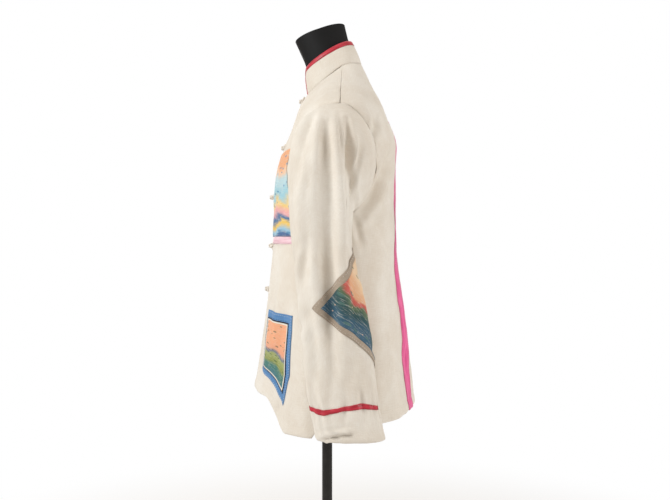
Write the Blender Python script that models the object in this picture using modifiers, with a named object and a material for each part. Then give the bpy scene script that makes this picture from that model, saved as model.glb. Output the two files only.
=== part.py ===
import math
from collections import namedtuple

import bmesh
import bpy
from mathutils import Vector

# Cotton jacket with a stand collar, on a limbless dress form. Metres, +Z up, wearer faces -Y,
# wearer's left is +X. The floor is z = 0 and the pole's axis is x = y = 0.

WALL = 0.0016
SEAM = 0.0003
PATCH = 0.0009
LIFT = 0.0006

HEM = 0.532
UNDERARM = 0.940
SHOULDER = 1.157
NECK = 1.263

# Level rings of the body, from hem to neck seam. Each ring has its own height at the front,
# the side and the back; front, back and side are Y; crest sets how fast the height changes
# round the ring, and step how much of the front's change is one sudden drop.
Ring = namedtuple("Ring", "level front_height back_height front back side half_width "
                          "front_squareness back_squareness front_crest back_crest step")
BODY_ROWS = tuple(Ring(*row) for row in (
    (HEM, 0.593, 0.558, -0.155, 0.188, 0.020, 0.235, 2.10, 2.05, 6.0, 0.35, 1.0),
    (0.640, 0.660, 0.646, -0.1425, 0.1775, 0.020, 0.228, 2.25, 2.05, 4.0, 1.0, 0.6),
    (0.750, 0.760, 0.754, -0.1275, 0.165, 0.020, 0.215, 2.45, 2.10, 3.0, 2.0, 0.0),
    (0.860, 0.864, 0.860, -0.116, 0.149, 0.020, 0.203, 2.60, 2.20, 2.0, 2.0, 0.0),
    (UNDERARM, 0.940, 0.940, -0.114, 0.145, 0.020, 0.198, 2.55, 2.35, 2.0, 2.0, 0.0),
    (1.040, 1.034, 1.042, -0.108, 0.145, 0.021, 0.200, 2.50, 2.45, 2.0, 2.0, 0.0),
    (1.110, 1.095, 1.106, -0.090, 0.146, 0.024, 0.204, 2.40, 2.40, 2.0, 2.0, 0.0),
    (SHOULDER, 1.130, 1.150, -0.075, 0.130, 0.0265, 0.205, 2.30, 2.30, 2.0, 2.0, 0.0),
    (1.187, 1.155, 1.185, -0.068, 0.117, 0.028, 0.172, 2.20, 2.20, 2.0, 2.0, 0.0),
    (1.222, 1.182, 1.220, -0.060, 0.101, 0.030, 0.122, 2.10, 2.10, 1.6, 1.6, 0.0),
    (1.247, 1.200, 1.252, -0.050, 0.0875, 0.031, 0.088, 2.05, 2.05, 1.3, 1.3, 0.0),
    (NECK, 1.211, 1.279, -0.0417, 0.0750, 0.0316, 0.067, 2.00, 2.00, 1.0, 1.0, 0.0),
))
# Where round the turn the front hem steps down from its centre to its side.
STEP_START = 0.205
STEP_END = 0.315

# The collar rises from the neck seam to this ring.
COLLAR_TOP = Ring(1.305, 1.272, 1.329, -0.0475, 0.0545, 0.012, 0.0600, 2.0, 2.0, 1.0, 1.0, 0.0)

# How far the armhole reaches into the front and the back, as a share of the half turn.
ARMHOLE_FRONT = 0.215
ARMHOLE_BACK = 0.180
ARMHOLE_ROUNDNESS = 0.60
ARMHOLE_STEPS = 9

# Soft folds of the body: where round the turn, between which levels, how wide and how deep.
Fold = namedtuple("Fold", "turn low high spread depth")
BODY_FOLDS = tuple(Fold(*row) for row in (
    (0.27, HEM - 0.10, 0.80, 0.040, 0.006),
    (0.40, HEM - 0.10, 0.74, 0.035, -0.005),
    (0.62, HEM - 0.10, 0.86, 0.040, 0.007),
    (0.74, HEM - 0.10, 0.78, 0.035, -0.006),
    (0.86, HEM - 0.10, 0.90, 0.040, 0.006),
))

# Rings of the sleeve between its under side and its outer side, from the armhole to the cuff.
SleeveRing = namedtuple("SleeveRing", "inner_x inner_z outer_x outer_z front back middle squareness")
SLEEVE_ROWS = tuple(SleeveRing(*row) for row in (
    (0.2065, 0.9380, 0.231, 1.148, -0.066, 0.090, 0.012, 2.1),
    (0.2085, 0.9320, 0.256, 1.122, -0.068, 0.080, 0.004, 2.1),
    (0.2100, 0.9240, 0.273, 1.084, -0.068, 0.066, -0.002, 2.2),
    (0.2110, 0.9130, 0.283, 1.038, -0.067, 0.055, -0.006, 2.2),
    (0.2125, 0.8970, 0.289, 0.985, -0.065, 0.049, -0.008, 2.2),
    (0.2145, 0.8740, 0.292, 0.930, -0.062, 0.049, -0.006, 2.2),
    (0.2170, 0.8470, 0.294, 0.878, -0.058, 0.052, -0.002, 2.1),
    (0.2200, 0.8170, 0.296, 0.832, -0.054, 0.060, 0.004, 2.0),
    (0.2240, 0.7850, 0.298, 0.790, -0.050, 0.068, 0.010, 2.0),
    (0.2275, 0.7490, 0.299, 0.750, -0.046, 0.075, 0.016, 2.0),
    (0.2310, 0.7120, 0.301, 0.712, -0.043, 0.082, 0.022, 2.0),
    (0.2345, 0.6750, 0.302, 0.675, -0.040, 0.087, 0.026, 2.0),
    (0.2385, 0.6350, 0.304, 0.635, -0.035, 0.092, 0.030, 2.1),
    (0.2410, 0.6080, 0.305, 0.608, -0.030, 0.096, 0.034, 2.1),
    (0.2420, 0.5940, 0.3055, 0.594, -0.0275, 0.098, 0.036, 2.1),
    (0.2435, 0.5660, 0.306, 0.566, -0.021, 0.102, 0.041, 2.2),
    (0.2445, 0.5440, 0.307, 0.544, -0.0155, 0.106, 0.046, 2.2),
))
SLEEVE_SIDES = 2 * ARMHOLE_STEPS + 2
# The cuff strap: the sleeve's rings that it lies between, and its ends round the turn.
STRAP = {"rings": (13, 14), "rear": -4.0, "front": 4.6}

# Troughs and ridges down the sleeve: degrees from the outer side towards the front.
SLEEVE_FOLDS = tuple(Fold(*row) for row in (
    (2.0, 0.56, 1.16, 18.0, 0.006),
    (-33.0, 0.66, 1.20, 16.0, -0.004),
    (46.0, 0.60, 0.95, 20.0, 0.004),
    (-57.0, 0.88, 1.18, 16.0, 0.013),
))

SLIT_TOP = 0.640
SLIT_FRONT = 0.078
SLIT_BACK = 0.022

BINDING_WIDTH = 0.0095
BINDING_WALL = 0.0026
COLLAR_CORNER = 0.016
COLLAR_FRONT_GAP = 0.0022
COLLAR_HALF_LENGTH = 0.15
COLLAR_MIDDLE = 0.012
COLLAR_BULGE = 0.002

POCKET = {"top": 0.753, "front_bottom": 0.618, "rear_bottom": 0.588, "front": 4.0, "rear": 7.75,
          "inset_rows": 0.28, "inset_columns": 0.36}
CHEST = {"top": 1.082, "ribbon": 0.905, "bottom": 0.889, "columns": (3, 10)}
# Lengths along the back from its centre line to the tape's middle.
TAPE_ROWS = ((HEM, 0.096), (0.62, 0.096), (0.70, 0.078), (0.82, 0.075), (0.95, 0.042),
             (1.187, 0.034))
TAPE_TOP = 1.157
TAPE_WIDTH = 0.034

# The elbow patch: its middle on the sleeve's rings and round its turn, and its reach from there.
ELBOW = {"row": 9.3, "half_rows": 2.9, "turn": -92.0 + 360.0, "half_turn": 130.0, "inset": 0.16}
PANEL_LIFT = LIFT + PATCH + 2.0 * SEAM

KNOT_HEIGHTS = (1.1985, 1.0990, 0.9940, 0.8890, 0.7950)
KNOT_RADIUS = 0.0062
CORD_RADIUS = 0.0017
FROG_REACH = 0.0455
CORD_LIFT = 0.0005

POLE_RADIUS = 0.011
BASE_RADIUS = 0.165
BASE_THICKNESS = 0.008
HUB_RADIUS = 0.024
HUB_HEIGHT = 0.045
FORM_FOOT = 0.605

# Rings of the torso under the jacket, below the shoulders.
FORM_ROWS = tuple(Ring(*row) for row in (
    (FORM_FOOT, FORM_FOOT, FORM_FOOT, -0.082, 0.100, 0.012, 0.150, 2.2, 2.2, 1.0, 1.0, 0.0),
    (0.625, 0.625, 0.625, -0.094, 0.116, 0.012, 0.164, 2.2, 2.2, 1.0, 1.0, 0.0),
    (0.700, 0.700, 0.700, -0.098, 0.124, 0.012, 0.172, 2.2, 2.2, 1.0, 1.0, 0.0),
    (0.800, 0.800, 0.800, -0.086, 0.106, 0.012, 0.148, 2.2, 2.2, 1.0, 1.0, 0.0),
    (0.860, 0.860, 0.860, -0.082, 0.100, 0.012, 0.138, 2.2, 2.2, 1.0, 1.0, 0.0),
    (0.940, 0.940, 0.940, -0.095, 0.110, 0.014, 0.152, 2.2, 2.2, 1.0, 1.0, 0.0),
    (1.040, 1.034, 1.042, -0.096, 0.126, 0.018, 0.170, 2.2, 2.2, 1.5, 1.5, 0.0),
    (1.110, 1.095, 1.106, -0.082, 0.131, 0.023, 0.182, 2.3, 2.3, 2.0, 2.0, 0.0),
))
NECK_ROWS = tuple(Ring(*row) for row in (
    (1.296, 1.266, 1.325, -0.0415, 0.0490, 0.005, 0.0515, 2.0, 2.0, 1.0, 1.0, 0.0),
    (1.3475, 1.3315, 1.3675, -0.0690, 0.0380, -0.0155, 0.0480, 2.0, 2.0, 1.0, 1.0, 0.0),
))
FORM_CLEARANCE = 0.0009
NECK_CLEARANCE = 0.0040

COTTON = (0.84, 0.80, 0.74, 1.0)
RED = (0.58, 0.035, 0.06, 1.0)
BLACK = (0.012, 0.012, 0.013, 1.0)


def smooth(x):
    x = min(1.0, max(0.0, x))
    return x * x * (3.0 - 2.0 * x)


def cubic(a, b, c, d, t):
    return 0.5 * (2.0 * b + (c - a) * t + (2.0 * a - 5.0 * b + 4.0 * c - d) * t * t
                  + (3.0 * b - a - 3.0 * c + d) * t * t * t)


def blend_rows(rows, level):
    # The ring at any level between a table's rows.
    last = len(rows) - 1
    index = next((i for i in range(last) if level <= rows[i + 1].level), last - 1)
    share = (level - rows[index].level) / (rows[index + 1].level - rows[index].level)
    around = [rows[min(last, max(0, index + k))] for k in (-1, 0, 1, 2)]
    return Ring(*(cubic(*column, share) for column in zip(*around)))


def ring_point(ring, turn):
    # turn runs from 0 at the centre front over 0.5 at the side to 1 at the centre back.
    angle = math.pi * turn
    ahead = turn <= 0.5
    power = 2.0 / (ring.front_squareness if ahead else ring.back_squareness)
    reach = abs(math.cos(angle)) ** power
    across = max(0.0, math.sin(angle)) ** power * ring.half_width
    if ahead:
        dropped = 1.0 - smooth((turn - STEP_START) / (STEP_END - STEP_START))
        share = reach ** ring.front_crest * (1.0 - ring.step) + dropped * ring.step
        return Vector((across, ring.side + (ring.front - ring.side) * reach,
                       ring.level + (ring.front_height - ring.level) * share))
    return Vector((across, ring.side + (ring.back - ring.side) * reach,
                   ring.level + (ring.back_height - ring.level) * reach ** ring.back_crest))


def fold_depth(folds, turn, level):
    total = 0.0
    for fold in folds:
        along = (level - fold.low) / (fold.high - fold.low)
        if 0.0 < along < 1.0:
            across = (turn - fold.turn) / fold.spread
            total += fold.depth * math.sin(math.pi * along) ** 0.8 * math.exp(-across * across)
    return total


def smooth_body_point(turn, level):
    mirrored = turn > 1.0
    turn = 2.0 - turn if mirrored else turn
    point = ring_point(blend_rows(BODY_ROWS, level), turn)
    if mirrored:
        point.x = -point.x
    return point


def body_normal(turn, level):
    step = 0.004
    top = min(NECK, level + step)
    low = max(HEM, level - step)
    across = smooth_body_point(turn + step, level) - smooth_body_point(max(0.0, turn - step), level)
    if turn < step:
        across = Vector((1.0, 0.0, 0.0))
    up = smooth_body_point(turn, top) - smooth_body_point(turn, low)
    return across.cross(up).normalized()


def body_point(turn, level):
    near = 2.0 - turn if turn > 1.0 else turn
    depth = fold_depth(BODY_FOLDS, near, level)
    return smooth_body_point(turn, level) - body_normal(turn, level) * depth


def armhole_share(level, reach):
    along = (level - UNDERARM) / (SHOULDER - UNDERARM)
    if along <= 0.0 or along >= 1.0:
        return 0.0
    return reach * math.sin(math.pi * along) ** ARMHOLE_ROUNDNESS


def slit_share(level, width):
    # The side slit is widest at the hem and narrows to nothing at its top.
    if level >= SLIT_TOP:
        return 0.0
    return width * (SLIT_TOP - level) / (SLIT_TOP - HEM)


def armhole_levels():
    # The same levels give the panels' edges and the sleeve's first ring, so that they fit.
    steps = range(ARMHOLE_STEPS + 2)
    share = [(1.0 - math.cos(math.pi * k / (ARMHOLE_STEPS + 1))) / 2.0 for k in steps]
    return [UNDERARM + (SHOULDER - UNDERARM) * s for s in share]


def body_levels():
    below = [HEM, 0.560, POCKET["rear_bottom"], 0.615, SLIT_TOP, 0.675, 0.715, POCKET["top"],
             0.795, 0.840, CHEST["bottom"], CHEST["ribbon"]]
    above = [1.174, 1.192, 1.212, 1.232, 1.248, NECK]
    return below + armhole_levels() + above


def even_turns(level, start, end, count):
    # Spaces the columns by length along the ring, so that cells stay even.
    fine = [start + (end - start) * k / 80.0 for k in range(81)]
    points = [smooth_body_point(t, level) for t in fine]
    lengths = [0.0]
    for a, b in zip(points, points[1:]):
        lengths.append(lengths[-1] + (b - a).length)
    turns = []
    for k in range(count + 1):
        target = lengths[-1] * k / count
        i = next(i for i in range(80) if lengths[i + 1] >= target - 1e-12)
        span = lengths[i + 1] - lengths[i]
        turns.append(fine[i] + (fine[i + 1] - fine[i]) * (target - lengths[i]) / span)
    return turns


def seam_turn(level, turn, towards):
    # Steps back from a seam line by half the seam's gap, along the ring.
    step = 0.001
    length = (smooth_body_point(turn + towards * step, level)
              - smooth_body_point(turn, level)).length
    return turn + towards * step * (SEAM * 0.5) / length


def front_grid():
    rows = []
    for level in body_levels():
        edge = 0.5 - armhole_share(level, ARMHOLE_FRONT) - slit_share(level, SLIT_FRONT)
        turns = even_turns(level, seam_turn(level, 0.0, 1.0), seam_turn(level, edge, -1.0), 11)
        rows.append([(body_point(t, level), body_normal(t, level)) for t in turns])
    return rows


def back_grid():
    rows = []
    for level in body_levels():
        edge = 0.5 + armhole_share(level, ARMHOLE_BACK) + slit_share(level, SLIT_BACK)
        turns = even_turns(level, seam_turn(level, edge, 1.0), 1.0, 9)
        half = [(body_point(t, level), body_normal(t, level)) for t in turns]
        rows.append(half + [mirror_pair(pair) for pair in reversed(half[:-1])])
    return rows


def mirror_pair(pair):
    return tuple(Vector((-v.x, v.y, v.z)) for v in pair)


def mirror_grid(grid):
    return [[mirror_pair(pair) for pair in row] for row in grid]


def sleeve_ring(row):
    inner = Vector((row.inner_x, 0.0, row.inner_z))
    outer = Vector((row.outer_x, 0.0, row.outer_z))
    centre = (inner + outer) / 2.0
    arm = (outer - inner) / 2.0
    power = 2.0 / row.squareness
    ring = []
    for k in range(SLEEVE_SIDES):
        angle = 2.0 * math.pi * k / SLEEVE_SIDES
        along = math.copysign(abs(math.cos(angle)) ** power, math.cos(angle))
        side = math.copysign(abs(math.sin(angle)) ** power, math.sin(angle))
        far = row.front if side > 0.0 else row.back
        y = row.middle + (far - row.middle) * abs(side)
        ring.append(centre + arm * along + Vector((0.0, y, 0.0)))
    return ring


def armhole_ring():
    # From the shoulder point down the front edge to the underarm, and up the back edge.
    levels = list(reversed(armhole_levels()))
    front = [(0.5 - armhole_share(z, ARMHOLE_FRONT), z) for z in levels]
    back = [(0.5 + armhole_share(z, ARMHOLE_BACK), z) for z in reversed(levels)]
    return front + back[1:-1]


def sleeve_grid():
    places = armhole_ring()
    seam = [body_point(turn, level) for turn, level in places]
    rings = [sleeve_ring(row) for row in SLEEVE_ROWS]
    rim = []
    for k, (turn, level) in enumerate(places):
        inward = (seam[(k + 1) % SLEEVE_SIDES] - seam[k - 1]).cross(body_normal(turn, level))
        inward.normalize()
        centre = sum(seam, Vector()) / SLEEVE_SIDES
        if inward.dot(centre - seam[k]) < 0.0:
            inward = -inward
        rim.append(inward)
    first = [p + e * SEAM for p, e in zip(seam, rim)]
    folded = [first]
    for index, ring in enumerate(rings):
        centre = sum(ring, Vector()) / SLEEVE_SIDES
        near_seam = smooth(index / 3.0)
        moved = []
        for k, p in enumerate(ring):
            turn = 360.0 * k / SLEEVE_SIDES
            turn = turn - 360.0 if turn > 180.0 else turn
            depth = fold_depth(SLEEVE_FOLDS, turn, p.z) * near_seam
            moved.append(p - (p - centre).normalized() * depth)
        folded.append(moved)
    grid = []
    for j, ring in enumerate(folded):
        after = folded[min(j + 1, len(folded) - 1)]
        before = folded[max(j - 1, 0)]
        row = []
        for k, p in enumerate(ring):
            along = after[k] - before[k]
            across = ring[(k + 1) % SLEEVE_SIDES] - ring[k - 1]
            normal = across.cross(along).normalized()
            if j == 0:
                normal = (normal - rim[k] * max(0.0, normal.dot(rim[k]))).normalized()
            row.append((p, normal))
        grid.append(row)
    return grid


def collar_pair(turn, rise):
    # rise runs from 0 at the neck seam to 1 at the collar's top edge.
    mirrored = turn < 0.0
    base = ring_point(BODY_ROWS[-1], abs(turn))
    top = ring_point(COLLAR_TOP, abs(turn))
    point = base.lerp(top, rise)
    outward = Vector((point.x, point.y - COLLAR_MIDDLE, 0.0)).normalized()
    point += outward * COLLAR_BULGE * math.sin(math.pi * min(1.0, max(0.0, rise)))
    if mirrored:
        point.x = -point.x
    return point


def collar_surface(turn, rise):
    step = 0.004
    across = collar_pair(turn + step, rise) - collar_pair(turn - step, rise)
    up = collar_pair(turn, rise + step) - collar_pair(turn, rise - step)
    normal = across.cross(up).normalized()
    inside = Vector((0.0, COLLAR_MIDDLE, COLLAR_TOP.level))
    if normal.dot(inside - collar_pair(turn, rise)) > 0.0:
        normal = -normal
    return collar_pair(turn, rise), normal


def make_material(name, colour, roughness=0.8, metallic=0.0):
    material = bpy.data.materials.new(name)
    material.use_nodes = True
    shader = material.node_tree.nodes["Principled BSDF"]
    shader.inputs["Base Color"].default_value = colour
    shader.inputs["Roughness"].default_value = roughness
    shader.inputs["Metallic"].default_value = metallic
    return material


def link_mesh(name, mesh, collection, colour, roughness=0.8, metallic=0.0):
    built = bpy.data.objects.new(name, mesh)
    collection.objects.link(built)
    mesh.materials.append(make_material(name + "_material", colour, roughness, metallic))
    return built


def sheet(name, grid, collection, colour, lift=0.0, wall=WALL, closed=False, roughness=0.85):
    # A wall of even thickness over a grid of points, each moved along its own normal.
    # A positive lift sets the wall on top of the grid, and none hangs it under the grid.
    high = lift + wall if lift > 0.0 else 0.0
    low = high - wall
    rows, columns = len(grid), len(grid[0])
    work = bmesh.new()
    layers = []
    for offset in (high, low):
        layers.append([[work.verts.new(p + n * offset) for p, n in row] for row in grid])
    last = columns if closed else columns - 1
    for layer in layers:
        for j in range(rows - 1):
            for k in range(last):
                n = (k + 1) % columns
                work.faces.new((layer[j][k], layer[j][n], layer[j + 1][n], layer[j + 1][k]))
    outer, inner = layers
    for j in (0, rows - 1):
        for k in range(last):
            n = (k + 1) % columns
            work.faces.new((outer[j][k], outer[j][n], inner[j][n], inner[j][k]))
    if not closed:
        for k in (0, columns - 1):
            for j in range(rows - 1):
                work.faces.new((outer[j][k], outer[j + 1][k], inner[j + 1][k], inner[j][k]))
    bmesh.ops.recalc_face_normals(work, faces=work.faces)
    mesh = bpy.data.meshes.new(name)
    work.to_mesh(mesh)
    work.free()
    return link_mesh(name, mesh, collection, colour, roughness)


def solid_from_rings(name, rings, collection, colour, roughness):
    # A closed smooth body through rings of points, with a flat cap at each end.
    work = bmesh.new()
    loops = [[work.verts.new(p) for p in ring] for ring in rings]
    count = len(rings[0])
    for lower, upper in zip(loops, loops[1:]):
        for k in range(count):
            n = (k + 1) % count
            work.faces.new((lower[k], lower[n], upper[n], upper[k]))
    work.faces.new(loops[0])
    work.faces.new(loops[-1])
    bmesh.ops.recalc_face_normals(work, faces=work.faces)
    mesh = bpy.data.meshes.new(name)
    work.to_mesh(mesh)
    work.free()
    return link_mesh(name, mesh, collection, colour, roughness)


def grid_pair(grid, row, column, closed=False):
    # A point between a grid's own points, with its normal, on the grid's flat facets.
    count = len(grid[0])
    j = min(len(grid) - 2, max(0, int(math.floor(row))))
    k = int(math.floor(column))
    if not closed:
        k = min(count - 2, max(0, k))
    v, u = row - j, column - k
    corners = [grid[j + dj][(k + dk) % count] for dj in (0, 1) for dk in (0, 1)]
    shares = ((1 - v) * (1 - u), (1 - v) * u, v * (1 - u), v * u)
    point = sum((c[0] * s for c, s in zip(corners, shares)), Vector())
    normal = sum((c[1] * s for c, s in zip(corners, shares)), Vector()).normalized()
    return point, normal


def clip(polygon, inside):
    # Keeps the part of a polygon where inside(row, column) is not below zero.
    kept = []
    for (a, b) in zip(polygon, polygon[1:] + polygon[:1]):
        value_a, value_b = inside(*a), inside(*b)
        if value_a >= 0.0:
            kept.append(a)
        if value_a * value_b < 0.0:
            share = value_a / (value_a - value_b)
            kept.append(tuple(p + (q - p) * share for p, q in zip(a, b)))
    return kept


def cells_inside(corners):
    # The grid's cells inside a convex outline of (row, column) corners, cut along its edges.
    rows = [row for row, _ in corners]
    columns = [column for _, column in corners]
    middle = (sum(rows) / len(rows), sum(columns) / len(columns))
    cells = []
    for j in range(math.floor(min(rows)), math.ceil(max(rows))):
        for k in range(math.floor(min(columns)), math.ceil(max(columns))):
            cell = [(j, k), (j, k + 1), (j + 1, k + 1), (j + 1, k)]
            for (r0, c0), (r1, c1) in zip(corners, corners[1:] + corners[:1]):
                def side(row, column):
                    return (row - r0) * (c1 - c0) - (column - c0) * (r1 - r0)
                sign = math.copysign(1.0, side(*middle))
                cell = clip(cell, lambda row, column: sign * side(row, column))
            if len(cell) > 2:
                cells.append(cell)
    return cells


def diamond(centre_row, centre_column, half_rows, half_columns):
    return [(centre_row - half_rows, centre_column), (centre_row, centre_column + half_columns),
            (centre_row + half_rows, centre_column), (centre_row, centre_column - half_columns)]


def sheet_of_cells(name, grid, cells, collection, colour, lift, wall, closed=False):
    # A wall over some of a grid's cells, whole or cut.
    count = len(grid[0])
    work = bmesh.new()
    layers = []
    for offset in (lift + wall, lift):
        made = {}
        for cell in cells:
            loop = []
            for row, column in cell:
                key = (round(row, 3), round(column, 3))
                if key not in made:
                    place = column % count if closed else column
                    point, normal = grid_pair(grid, row, place, closed)
                    made[key] = work.verts.new(point + normal * offset)
                if made[key] not in loop:
                    loop.append(made[key])
            if len(loop) > 2:
                work.faces.new(loop)
        layers.append(made)
    outer, inner = layers
    below = {vert: inner[key] for key, vert in outer.items()}
    for edge in [e for e in work.edges if e.is_boundary and e.verts[0] in below]:
        first, second = edge.verts
        work.faces.new((first, second, below[second], below[first]))
    bmesh.ops.recalc_face_normals(work, faces=work.faces)
    mesh = bpy.data.meshes.new(name)
    work.to_mesh(mesh)
    work.free()
    return link_mesh(name, mesh, collection, colour)


def level_row(level):
    levels = body_levels()
    for index in range(len(levels) - 1):
        if level <= levels[index + 1] + 1e-9:
            return index + (level - levels[index]) / (levels[index + 1] - levels[index])
    return len(levels) - 1.0


def column_at(grid, row, distance, start=0):
    # The column that lies a given length along a row from its starting column.
    step = 1 if distance >= 0.0 else -1
    left = abs(distance)
    column = start
    while 0 <= column + step < len(grid[0]):
        a, b = grid_pair(grid, row, column)[0], grid_pair(grid, row, column + step)[0]
        length = (b - a).length
        if length >= left:
            return column + step * left / length
        left -= length
        column += step
    return float(column)


def patch_rows(low, high):
    # Every grid row between two levels, with the two levels themselves.
    inside = [z for z in body_levels() if low + 0.003 < z < high - 0.003]
    return [level_row(z) for z in [low] + inside + [high]]


def body_patch(grid, low, high, first, last):
    # A patch whose corners are the panel's own points, so that it follows each of its facets.
    return [grid[int(round(row))][first:last + 1] for row in patch_rows(low, high)]


def pocket_corners(inset):
    # inset runs from 0 for the frame's outline to 1 for the picture's.
    rows, columns = POCKET["inset_rows"] * inset, POCKET["inset_columns"] * inset
    front, rear = POCKET["front"] + columns, POCKET["rear"] - columns
    top = level_row(POCKET["top"]) - rows
    return [(level_row(POCKET["front_bottom"]) + rows, front),
            (level_row(POCKET["rear_bottom"]) + rows, rear), (top, rear), (top, front)]


def build_front_patches(grid, collection):
    for side, panel in (("left", grid), ("right", mirror_grid(grid))):
        sheet_of_cells("pocket_frame_" + side, panel, cells_inside(pocket_corners(0.0)),
                       collection, (0.06, 0.22, 0.50, 1.0), LIFT, PATCH)
        sheet_of_cells("pocket_panel_" + side, panel, cells_inside(pocket_corners(1.0)),
                       collection, (0.30, 0.38, 0.22, 1.0), PANEL_LIFT, PATCH * 0.6)
    first, last = CHEST["columns"]
    chest = body_patch(grid, CHEST["ribbon"], CHEST["top"], first, last)
    edge = [grid_pair(grid, level_row(CHEST["ribbon"] + SEAM), k)
            for k in range(first, last + 1)]
    sheet("chest_panel", [edge] + chest[1:], collection, (0.42, 0.62, 0.72, 1.0), LIFT, PATCH)
    ribbon = body_patch(grid, CHEST["bottom"], CHEST["ribbon"], first, last)
    sheet("chest_ribbon", ribbon, collection, (0.86, 0.62, 0.68, 1.0), LIFT, PATCH,
          roughness=0.45)


def build_back_tape(grid, collection):
    middle = len(grid[0]) // 2
    rows = []
    for index, level in enumerate(body_levels()):
        if level > TAPE_TOP + SEAM:
            break
        for (low, a), (high, b) in zip(TAPE_ROWS, TAPE_ROWS[1:]):
            if low <= level <= high:
                centre = a + (b - a) * smooth((level - low) / (high - low))
        near, far = (column_at(grid, index, -(centre + side * TAPE_WIDTH / 2.0), middle)
                     for side in (-1.0, 1.0))
        rows.append([grid_pair(grid, index, near + (far - near) * k / 3.0) for k in range(4)])
    sheet("back_tape", rows, collection, (0.90, 0.24, 0.42, 1.0), LIFT + SEAM / 2.0, PATCH,
          roughness=0.4)


def build_sleeves(collection):
    grid = sleeve_grid()
    mirrored = mirror_grid(grid)
    for side, cloth in (("left", grid), ("right", mirrored)):
        sheet("sleeve_" + side, cloth, collection, COTTON, closed=True)
        low, high = (1 + ring for ring in STRAP["rings"])
        columns = [STRAP["rear"], *range(-3, 5), STRAP["front"]]
        strap = [[grid_pair(cloth, row, k, closed=True) for k in columns]
                 for row in (low + 0.1, low + 0.5, high - 0.1)]
        sheet("cuff_strap_" + side, strap, collection, RED, LIFT, PATCH, roughness=0.4)
        middle, half = ELBOW["row"], ELBOW["half_rows"]
        turn, reach = (SLEEVE_SIDES * ELBOW[key] / 360.0 for key in ("turn", "half_turn"))
        for name, share, colour, lift, wall in (
                ("elbow_frame_", 1.0, (0.42, 0.36, 0.30, 1.0), LIFT + SEAM / 2.0, PATCH),
                ("elbow_panel_", 1.0 - ELBOW["inset"], (0.08, 0.24, 0.26, 1.0),
                 PANEL_LIFT + SEAM, PATCH * 0.6)):
            cells = cells_inside(diamond(middle, turn, half * share, reach * share))
            sheet_of_cells(name + side, cloth, cells, collection, colour, lift, wall, True)


def build_collar(collection):
    # Turn runs from the left front edge round the back to the right front edge.
    start = COLLAR_FRONT_GAP / COLLAR_HALF_LENGTH
    half = [start + (1.0 - start) * (k / 13.0) for k in range(14)]
    turns = half + [-t for t in reversed(half[:-1])]
    height = [(collar_pair(t, 1.0) - collar_pair(t, 0.0)).length for t in turns]
    along = [0.0]
    for a, b in zip(turns, turns[1:]):
        along.append(along[-1] + (collar_pair(b, 0.5) - collar_pair(a, 0.5)).length)
    total = along[-1]

    def pair(distance, rise_length):
        i = next((i for i in range(len(along) - 1) if along[i + 1] >= distance - 1e-9),
                 len(along) - 2)
        share = (distance - along[i]) / (along[i + 1] - along[i])
        turn = turns[i] + (signed_next(turns, i) - turns[i]) * share
        if turn > 1.0:
            turn -= 2.0
        full = height[i] + (height[i + 1] - height[i]) * share
        return collar_surface(turn, rise_length / full), full

    def signed_next(values, index):
        following = values[index + 1]
        return following + 2.0 if following < 0.0 < values[index] else following

    def top_of(distance, inset, radius):
        # Height of the outline above the seam, lower at its rounded front corners.
        full = pair(distance, 0.0)[1] - inset
        near = min(distance, total - distance) - inset
        if near < radius:
            return full - radius + math.sqrt(max(0.0, radius ** 2 - (radius - near) ** 2))
        return full

    cloth_inset = BINDING_WIDTH + 2.5 * SEAM
    cloth_corner = COLLAR_CORNER - BINDING_WIDTH
    marks = [cloth_inset + d for d in (0.0, 0.002, 0.0065)]
    stations = marks + [cloth_inset + (total - 2 * cloth_inset) * k / 24.0 for k in range(2, 23)]
    stations += [total - d for d in reversed(marks)]
    cloth = []
    for share in (0.0, 0.35, 0.7, 1.0):
        row = []
        for d in stations:
            top = top_of(d, cloth_inset, cloth_corner)
            row.append(pair(d, SEAM + (top - SEAM) * share)[0])
        cloth.append(row)
    sheet("collar", cloth, collection, COTTON)

    quarter = [math.pi / 2.0 * k / 5.0 for k in range(6)]
    outer, inner = [], []
    for radius, inset, path in ((COLLAR_CORNER, 0.0, outer),
                                (cloth_corner, BINDING_WIDTH, inner)):
        full_start = pair(0.0, 0.0)[1]
        for share in (0.0, 0.5):
            path.append((inset, SEAM + (full_start - inset - radius - SEAM) * share))
        for angle in quarter:
            path.append((inset + radius * (1.0 - math.cos(angle)),
                         full_start - inset - radius * (1.0 - math.sin(angle))))
    middle = [COLLAR_CORNER + (total - 2.0 * COLLAR_CORNER) * k / 22.0 for k in range(1, 22)]
    top_outer = [(d, pair(d, 0.0)[1]) for d in middle]
    top_inner = [(d, pair(d, 0.0)[1] - BINDING_WIDTH) for d in middle]
    right_outer = [(total - d, z) for d, z in reversed(outer)]
    right_inner = [(total - d, z) for d, z in reversed(inner)]
    rows = []
    for path in (outer + top_outer + right_outer, inner + top_inner + right_inner):
        rows.append([pair(d, z)[0] for d, z in path])
    extra = (BINDING_WALL - WALL) / 2.0
    lifted = [[(p + n * extra, n) for p, n in row] for row in rows]
    sheet("collar_binding", lifted, collection, RED, wall=BINDING_WALL, roughness=0.4)


def cord(name, points, collection, colour):
    curve = bpy.data.curves.new(name, "CURVE")
    curve.dimensions = "3D"
    curve.bevel_depth = CORD_RADIUS
    curve.bevel_resolution = 1
    curve.use_fill_caps = True
    spline = curve.splines.new("POLY")
    spline.points.add(len(points) - 1)
    for target, p in zip(spline.points, points):
        target.co = (p.x, p.y, p.z, 1.0)
    built = bpy.data.objects.new(name, curve)
    collection.objects.link(built)
    curve.materials.append(make_material(name + "_material", colour))
    return built


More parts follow.
